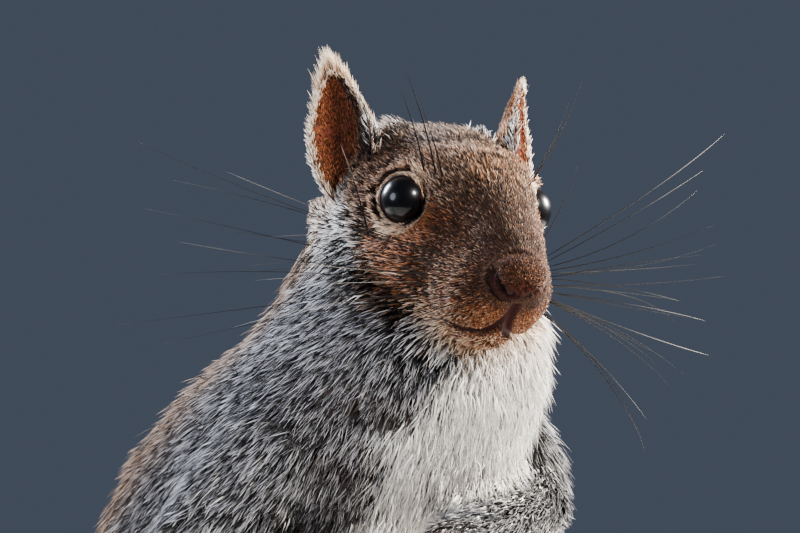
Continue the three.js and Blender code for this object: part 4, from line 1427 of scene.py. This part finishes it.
# the rim of the lids, in radians outside the opening: where it starts to fade, how fast, and more at the
# corner
RIM_FROM, RIM_FADE, RIM_CORNER = 0.05, 0.035, 0.1
skin_points, skin_normals = points_of(skin.data), normals_of(skin.data)
skin_shares, _ = belonging(skin_points)
skin_marks = dict(zip(("white", "russet", "dark"), marks_at(skin_points, skin_normals, skin_shares).T))
skin_marks["lips"] = np.exp(-(from_mouth(skin_points)[0] / LIPS_WIDE) ** 4)
skin_marks["rim"] = np.zeros(len(skin_points))
for side in SIDES:
    reach, around, outside = eye_polar(skin_points, side)
    corner_here = eye_corner(around)
    near = reach < EYE_RADIUS + (0.8 + 1.6 * corner_here) * MM
    fade = np.exp(-(np.clip(outside - RIM_FROM, 0, 9) / (RIM_FADE + RIM_CORNER * corner_here)) ** 2)
    skin_marks["rim"] = np.maximum(skin_marks["rim"], fade * near)
skin_marks["cup"] = ear_place(skin_points, skin_normals)[2] * rise(skin_shares[:, EAR], 0.2, 0.6)
by_nose = in_head(skin_points)[:, 0] > NOSE_MIDDLE[0] - 3
skin_marks["leather"] = rise(nose_reach(skin_points), 1.25, 1.05) * by_nose
for name, values in skin_marks.items():
    put_value(skin.data, name, values)
print("skin's marks:", ", ".join(skin_marks))

# %% [markdown]
# The skin's colour starts from a dark slate ground. The marks lay their own colours over it one after
# another, and a fine grain breaks them up.

# %% Skin material
skin_paint, shader, tree = material("skin under the coat", Roughness=0.65, Specular_IOR_Level=0.08)
read = {name: attribute(tree, name) for name in skin_marks}
ground = read["russet"].blend((0.045, 0.042, 0.042), (0.16, 0.08, 0.04))
ground = read["white"].blend(ground, read["russet"].blend((0.4, 0.37, 0.34), (0.17, 0.09, 0.05)))
for name, colour in {
    "dark": (0.02, 0.018, 0.017), "cup": (0.15, 0.03, 0.013), "lips": (0.032, 0.004, 0.003),
    "rim": (0.006, 0.005, 0.005), "leather": (0.03, 0.009, 0.006),
}.items():
    ground = read[name].blend(ground, colour)
grain = tree.noise(900.0, 4.0)
ground = ((grain - 0.5) * 0.5).ramp(-0.2, 0.2, 0.0, 0.35).blend(ground, (0.03, 0.02, 0.018))
tree.put(shader.inputs["Base Color"], ground)
tree.put(shader.inputs["Normal"], grain.bump(0.35, 0.0004))
skin.data.materials.append(skin_paint)
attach(skin, "root")
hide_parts(*[n for n in FLESH if n != "nose"], *EARS)
print("skin stands for", len(FLESH) + len(EARS) - 1, "solids")

# %% [markdown]
# A squirrel's eye is nearly black with a thin brown ring at the edge of a wide pupil, under a wet cornea.
# The ball is a sphere whose front bulges slightly, with a coat layer for the wet shine. The ball turns
# brown toward the lids.

# %% Eyes
eye_paint, shader, tree = material("wet dark eye", Roughness=0.3, Specular_IOR_Level=0.1, Coat_Weight=0.5,
                                   Coat_Roughness=0.02, Coat_IOR=1.36)
iris = attribute(tree, "iris")
flecks = tree.noise(1400.0, 3.0)
brown = flecks.ramp(0.35, 0.65).blend((0.006, 0.003, 0.002), (0.016, 0.008, 0.005))
tree.put(shader.inputs["Base Color"], iris.ramp(0.7, 1.0).blend((0.0015, 0.0015, 0.002), brown))
CORNEA_BULGE, CORNEA_WIDE, IRIS_EDGE = 0.035, 0.35, math.radians(60)

for side in SIDES:
    out, front, up = eye_directions(side)
    bm = bmesh.new()
    bmesh.ops.create_uvsphere(bm, u_segments=64, v_segments=40, radius=1.0)
    iris = []
    for v in bm.verts:
        way = v.co.z * out + v.co.x * front + v.co.y * up
        bulge = 1 + CORNEA_BULGE * math.exp(-((1 - v.co.z) / CORNEA_WIDE) ** 2)
        iris.append(math.acos(max(-1, min(1, v.co.z))) / IRIS_EDGE)
        v.co = Vector(eye_middle[side] + way * EYE_RADIUS * bulge)
    bmesh.ops.recalc_face_normals(bm, faces=bm.faces[:])
    mesh = finished_mesh(bm, "eyeball_" + side)
    put_value(mesh, "iris", iris)
    finished_piece("eyeball_" + side, mesh, eye_paint, "eye", "eye_" + side)


# %% [markdown]
# The nose pad is bare and leathery, with a comma-shaped nostril on each side and a groove down its middle.
# It is a ball pressed to the size of the nose's solid, with the nostrils and the groove pushed in along
# their lines and darkened there with painted shade.

# %% Nose pad
# to the side and up, from the back of the nostril to its middle
NOSTRIL_LINE = np.array([(5.5, 1.5), (5.2, -0.5), (4.2, -2.0), (2.6, -2.8)])
NOSTRIL_WIDE, LIP_OUT, GROOVE_DEEP, GROOVE_WIDE, FRONT_HALF = 0.32, 0.25, 0.55, 0.42, 0.8
bm = bmesh.new()
bmesh.ops.create_icosphere(bm, subdivisions=6, radius=1.0)
pad = np.array([v.co for v in bm.verts]) * NOSE_SIZE
way = unit(pad / np.array(NOSE_SIZE) ** 2)
best = np.full(len(pad), 1e9)
where = np.zeros(len(pad))
for i in range(len(NOSTRIL_LINE) - 1):
    step = NOSTRIL_LINE[i + 1] - NOSTRIL_LINE[i]
    place = np.stack([np.abs(pad[:, 1]), pad[:, 2]], axis=1) - NOSTRIL_LINE[i]
    t = np.clip(place @ step / (step @ step), 0, 1)
    off = np.linalg.norm(place - t[:, None] * step, axis=1)
    where = np.where(off < best, (i + t) / (len(NOSTRIL_LINE) - 1), where)
    best = np.minimum(best, off)
front_side = pad[:, 0] > -FRONT_HALF
nostril = np.exp(-(best / (NOSTRIL_WIDE + 0.38 * where)) ** 2) * (0.4 + 1.3 * where) * front_side
lip = LIP_OUT * np.exp(-((best - 1.1) / 0.45) ** 2) * front_side
groove = GROOVE_DEEP * np.exp(-(pad[:, 1] / GROOVE_WIDE) ** 2) * rise(-pad[:, 2], -0.6, 2.0) * front_side
pad = pad + way * (lip - nostril - groove)[:, None]
for v, place in zip(bm.verts, pad):
    v.co = Vector(from_head(*(place + NOSE_MIDDLE)))
mesh = finished_mesh(bm, "nose_pad")
# Painted shade: the pushed-in nostrils and groove are marked to be darkened.
put_value(mesh, "hollow", np.clip(nostril * 1.2 + groove * 0.6, 0, 1))
nose_paint, shader, tree = material("nose leather", Roughness=0.65, Specular_IOR_Level=0.06)
pores = tree.noise(1500.0, 5.0)
leather = pores.ramp(0.35, 0.7).blend((0.014, 0.003, 0.002), (0.05, 0.011, 0.006))
# The nostrils and the groove are painted near black: painted shade in the hollows.
tree.put(shader.inputs["Base Color"], attribute(tree, "hollow").blend(leather, (0.004, 0.0015, 0.0015)))
tree.put(shader.inputs["Normal"], pores.bump(0.6, 0.0004))
nose = finished_piece("nose_pad", mesh, nose_paint, "nose_leather", "nose")

# %% [markdown]
# Only the middle of the pad is bare. Very short russet hair runs over its top and sides from the face, so
# that no edge shows there. It stops above the nostrils.

# %% Velvet on the nose
VELVET_TUFTS, VELVET_LONG, VELVET_WIDE = 5200, 0.95, 0.17
VELVET_MARKS = {"white": 0.03, "russet": 1.0, "dark": 0.84}
outward = way @ HEAD_AXES.T
hairy = rise(pad[:, 2], -1.6, 0.6) * (nostril + groove < 0.08) * (pad[:, 0] > -2.5)
pick = rng.choice(len(pad), VELVET_TUFTS, p=hairy / hairy.sum())
root = np.array([v.co for v in nose.data.vertices])[pick] + rng.normal(0, 0.05, (VELVET_TUFTS, 3)) * MM
outward = outward[pick]
lie = laid_flat(unit(root - from_head(36, 0, -10)), outward)
lie = unit(lie + rng.normal(0, 0.2, (VELVET_TUFTS, 3)))
long = VELVET_LONG * MM * rng.uniform(0.6, 1.2, VELVET_TUFTS)[:, None]
spine = np.stack([root - 0.1 * MM * outward, root + long * (0.45 * lie + 0.22 * outward),
                  root + long * (lie + 0.28 * outward)], axis=1)
values = {name: np.full(VELVET_TUFTS, mark) for name, mark in VELVET_MARKS.items()}
values["chance"] = rng.random(VELVET_TUFTS)
patch = (pad[pick][:, 1:] / 14 + 0.5).clip(PATCH, 1 - PATCH)
width = np.full((VELVET_TUFTS, 1), VELVET_WIDE * MM)
mesh = tuft_mesh("coat_nose", spine, np.cross(outward, lie), outward, width, values, patch)
finished_piece("coat_nose", mesh, fur_paint, "fur_grey")

# %% [markdown]
# ## Whiskers
# Stiff tapering hairs stand in rows on each whisker pad, with a few more over each eye and on each cheek.
# Each leaves the skin sideways, then bends back under its own spring. They are long single spikes, made the
# way the tufts are. Any that would reach too far past the solids is drawn in.

# %% Whiskers and brow bristles
# height of the row on the pad, number of whiskers, how far they rise or fall
WHISKER_ROWS = [(-7.0, 4, 0.4), (-9.0, 4, 0.15), (-11.5, 5, -0.05), (-13.5, 5, -0.3), (-15.5, 3, -0.65)]
# ahead, to the side, up, length
BRISTLES = [(4, 12, 8, 26), (6, 11, 7.5, 17), (1, 13.5, 8, 20), (-6, 20, -12, 24)]
WHISKER_LONG, WHISKER_WIDE, WHISKER_RINGS = 72.0, 0.42, 12
FRONT_WHISKER, ROW_LONG, FALL_RIGHT = 23.5, 9.0, 0.45
WHISKER_PAST = np.array([5.0, 16.0, 8.0])
skin_tree = kdtree.KDTree(len(bare_points))
for i, p in enumerate(bare_points):
    skin_tree.insert(p, i)
skin_tree.balance()
starts, bends, longs = [], [], []
for sign in (-1, 1):
    for up, count, droop in WHISKER_ROWS:
        for k in range(count):
            share = k / max(1, count - 1)
            ahead = FRONT_WHISKER - ROW_LONG * share + rng.normal(0, 0.3)
            starts.append(skin_tree.find(from_head(ahead, sign * 10, up + rng.normal(0, 0.3)))[0])
            fall = droop * (1.0 if sign > 0 else FALL_RIGHT)
            first = (0.35 - 0.6 * share, sign, 0.05 + fall + rng.normal(0, 0.1))
            sideways = sign * (0.95 - 0.15 * share)
            last = (-0.25 - 0.6 * share, sideways, 1.1 * fall - 0.15 + rng.normal(0, 0.13))
            bends.append((first, last))
            longs.append(WHISKER_LONG * (0.55 + 0.5 * share) * rng.uniform(0.75, 1.05))
    for ahead, side, up, length in BRISTLES:
        starts.append(skin_tree.find(from_head(ahead, sign * side, up))[0])
        bends.append(((0.25, sign * 0.45, 1.0), (-0.5, sign * 0.4, 0.9)))
        longs.append(length)
starts, longs = np.array(starts), np.array(longs) * MM
first, last = unit(np.array(bends).transpose(1, 0, 2)) @ HEAD_AXES.T
spine = [starts - first * 0.5 * MM]
for stretch in range(WHISKER_RINGS + 1):
    turn = (stretch / WHISKER_RINGS) ** 0.8
    step = (longs / (WHISKER_RINGS + 1))[:, None]
    spine.append(spine[-1] + unit((1 - turn) * first + turn * last) * step)
spine = np.stack(spine, axis=1)
low_corner = np.array(cad_box[0]) - WHISKER_PAST * MM
high_corner = np.array(cad_box[1]) + WHISKER_PAST * MM
tips = spine[:, -1] - starts
room = np.where(tips > 0, high_corner - starts, low_corner - starts) / tips
spine = starts[:, None] + (spine - starts[:, None]) * np.minimum(1, room.min(axis=1))[:, None, None]
across = unit(np.cross(first, [0.2, 0.1, 1.0]))
over = unit(np.cross(across, first))
count = len(starts)
width = (1 - np.linspace(0, 1, WHISKER_RINGS) ** 1.5 * 0.8) * WHISKER_WIDE * MM * np.ones((count, 1))
numbers = np.arange(count)
patch = (np.stack([numbers % 8, numbers // 8], axis=1) + 0.5) / 8
mesh = tuft_mesh("whiskers", spine, across, over, width, {"chance": rng.random(count)}, patch)
whisker_paint, shader, tree = material("whisker", Roughness=0.6, Specular_IOR_Level=0.05)
# The whiskers are dark. Their paling toward the tips, more on some than others, is partly their own colour
# and partly a painted highlight.
pale_tip_and_highlight = (attribute(tree, "along") * 0.6 + attribute(tree, "chance") * 0.7).ramp(0.85, 1.35)
tree.put(shader.inputs["Base Color"], pale_tip_and_highlight.blend((0.008, 0.006, 0.005), (0.45, 0.4, 0.35)))
finished_piece("whiskers", mesh, whisker_paint, "fur_grey")

# %% [markdown]
# ## Tail
# The brush is far wider than the tail itself. First comes a thin core that bends along the floor: a ring is
# drawn out step by step along the tail's line, and tapers.

# %% Tail core
TAIL_START, TAIL_LENGTH, TAIL_BEND = (0, 27, 17), 225, math.radians(62)
TAIL_STEPS, TAIL_BONE = 60, 0.88
t = np.linspace(0, TAIL_BONE, TAIL_STEPS + 1)
heading = TAIL_BEND * (t ** 2 - 0.1)
full = np.sin(math.pi * (0.15 + 0.79 * t)) ** 0.7
tall = 13.5 * (0.55 + 0.45 * full) * (1 - 0.35 * t ** 3)
wide = 11 + 20 * full
high_line = np.maximum(tall - 1.2, 17 - 17 * np.clip(4 * t, 0, 1))
step = TAIL_LENGTH * TAIL_BONE / TAIL_STEPS
core = np.stack([
    TAIL_START[0] + np.concatenate([[0], np.cumsum(np.sin(heading[:-1]) * step)]),
    TAIL_START[1] + np.concatenate([[0], np.cumsum(np.cos(heading[:-1]) * step)]),
    high_line,
], axis=1) * MM
core_radius = (6.0 - 4.2 * t) * np.sqrt(1.02 - (t / TAIL_BONE) ** 10) * MM
core_way = unit(np.gradient(core, axis=0))
core_side = unit(np.cross(core_way, [0, 0, 1.0]))
core_up = np.cross(core_side, core_way)

CORE_SIDES = 16
bm = bmesh.new()
ring = bmesh.ops.create_circle(bm, cap_ends=True, radius=1.0, segments=CORE_SIDES)["verts"]
for i in range(TAIL_STEPS + 1):
    for k, v in enumerate(ring):
        a = 2 * math.pi * k / CORE_SIDES
        v.co = Vector(core[i] + core_radius[i] * (math.cos(a) * core_side[i] + math.sin(a) * core_up[i]))
    if i < TAIL_STEPS:
        edges = {e for v in ring for e in v.link_edges if e.other_vert(v) in ring}
        grown = bmesh.ops.extrude_edge_only(bm, edges=list(edges))["geom"]
        fresh = [g for g in grown if isinstance(g, bmesh.types.BMVert)]
        ring = [min(fresh, key=lambda f: (f.co - v.co).length) for v in ring]
bmesh.ops.contextual_create(bm, geom=ring)
bmesh.ops.recalc_face_normals(bm, faces=bm.faces[:])
mesh = finished_mesh(bm, "tail_skin")
for name in skin_marks:
    put_value(mesh, name, np.full(len(mesh.vertices), 0.4 if name == "russet" else 0.0))
finished_piece("tail_skin", mesh, skin_paint, "fur_tail", *TAIL)

# %% [markdown]
# Long hairs stand out from the core to both sides, shorter above and below, as on a bottle brush pressed
# flat. They close in toward the tip, where a few more of them stand.

# %% Tail brush
TAIL_TUFTS, TAIL_RINGS, TAIL_WIDE = 11000, 2, 0.62
TAIL_LEADERS, TAIL_SEED, AT_TIP = 0.06, 31, 0.05
HAIR_MOST, HAIR_LESS, TAIL_CLEAR = 38, 14, 0.5
at_tip = rng.random(TAIL_TUFTS) < AT_TIP
u = TAIL_BONE * np.where(at_tip, rng.uniform(0.96, 1.0, TAIL_TUFTS), rng.random(TAIL_TUFTS) ** 0.9)
a = rng.uniform(0, 2 * math.pi, TAIL_TUFTS)
pick = u / TAIL_BONE * TAIL_STEPS


def along_core(values):
    return np.stack([np.interp(pick, np.arange(TAIL_STEPS + 1), column) for column in values.T], axis=1)


middle_line, way, sidelong, above = (along_core(v) for v in (core, core_way, core_side, core_up))
radius = np.interp(u, t, core_radius)
outward = np.cos(a)[:, None] * sidelong + np.sin(a)[:, None] * above
root = middle_line + outward * radius[:, None]
flatness = np.abs(np.cos(a))
reach = np.interp(u, t, wide) * MM - radius
reach_up = np.interp(u, t, tall) * MM - radius
reach = np.sqrt((reach * np.cos(a)) ** 2 + (reach_up * np.sin(a)) ** 2)
slope = np.radians(20 + 32 * flatness) * rng.normal(1, 0.12, TAIL_TUFTS)
slope = slope * (1 - 0.5 * rise(u, 0.6, TAIL_BONE) - 0.35 * rise(u, 0.95 * TAIL_BONE, TAIL_BONE))
size = reach / np.sin(slope) * rng.uniform(0.72, 1.0, TAIL_TUFTS)
size = np.minimum(size, (HAIR_MOST - HAIR_LESS * rise(u, 0.6, TAIL_BONE)) * MM)
spine = [root - outward * 0.4 * MM]
for stretch in range(TAIL_RINGS + 1):
    lift = (slope * (1.3 - 0.6 * (stretch + 0.5) / (TAIL_RINGS + 1)))[:, None]
    step = (size / (TAIL_RINGS + 1))[:, None]
    spine.append(spine[-1] + step * (way * np.cos(lift) + outward * np.sin(lift)))
hold = rng.uniform(0.2, 0.6, TAIL_TUFTS)
spine = drawn_together(np.stack(spine, axis=1), root, TAIL_LEADERS, hold, TAIL_SEED)
spine[:, :, 2] = np.maximum(spine[:, :, 2], TAIL_CLEAR * MM)
chance = rng.random(TAIL_TUFTS)
values = {"white": 0.25 * flatness * chance, "russet": 0.35 + 0.2 * (1 - flatness),
          "dark": np.full(TAIL_TUFTS, 0.18), "chance": chance}
width = TAIL_WIDE * MM * rng.uniform(0.7, 1.2, TAIL_TUFTS)[:, None] * [0.9, 1.0]
mesh = tuft_mesh("coat_tail", spine, unit(np.cross(outward, way)), outward, width, values,
                 on_patch(np.stack([a / (2 * math.pi), u], axis=1)))
finished_piece("coat_tail", mesh, fur_paint, "fur_tail")

# %% [markdown]
# ## Claws
# The claws keep their solids, which already have the right curve and size. They get a horn material, dark
# brown with paler streaks.

# %% Claw material
claw_paint, shader, tree = material("dark horn", Roughness=0.38, Specular_IOR_Level=0.5)
streak = tree.noise(2200.0, 4.0)
tree.put(shader.inputs["Base Color"], streak.ramp(0.3, 0.75).blend((0.02, 0.013, 0.01), (0.09, 0.06, 0.045)))
tree.put(shader.inputs["Normal"], streak.bump(0.3, 0.0002))
claws = [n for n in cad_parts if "claw" in n]
for name in claws:
    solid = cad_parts[name]
    solid.data.materials.clear()
    solid.data.materials.append(claw_paint)
print(len(claws), "claws")

# %% [markdown]
# Last, the size of the solids is printed.

# %% The solids' size
print("solids' box", np.round(cad_box, 4).tolist())
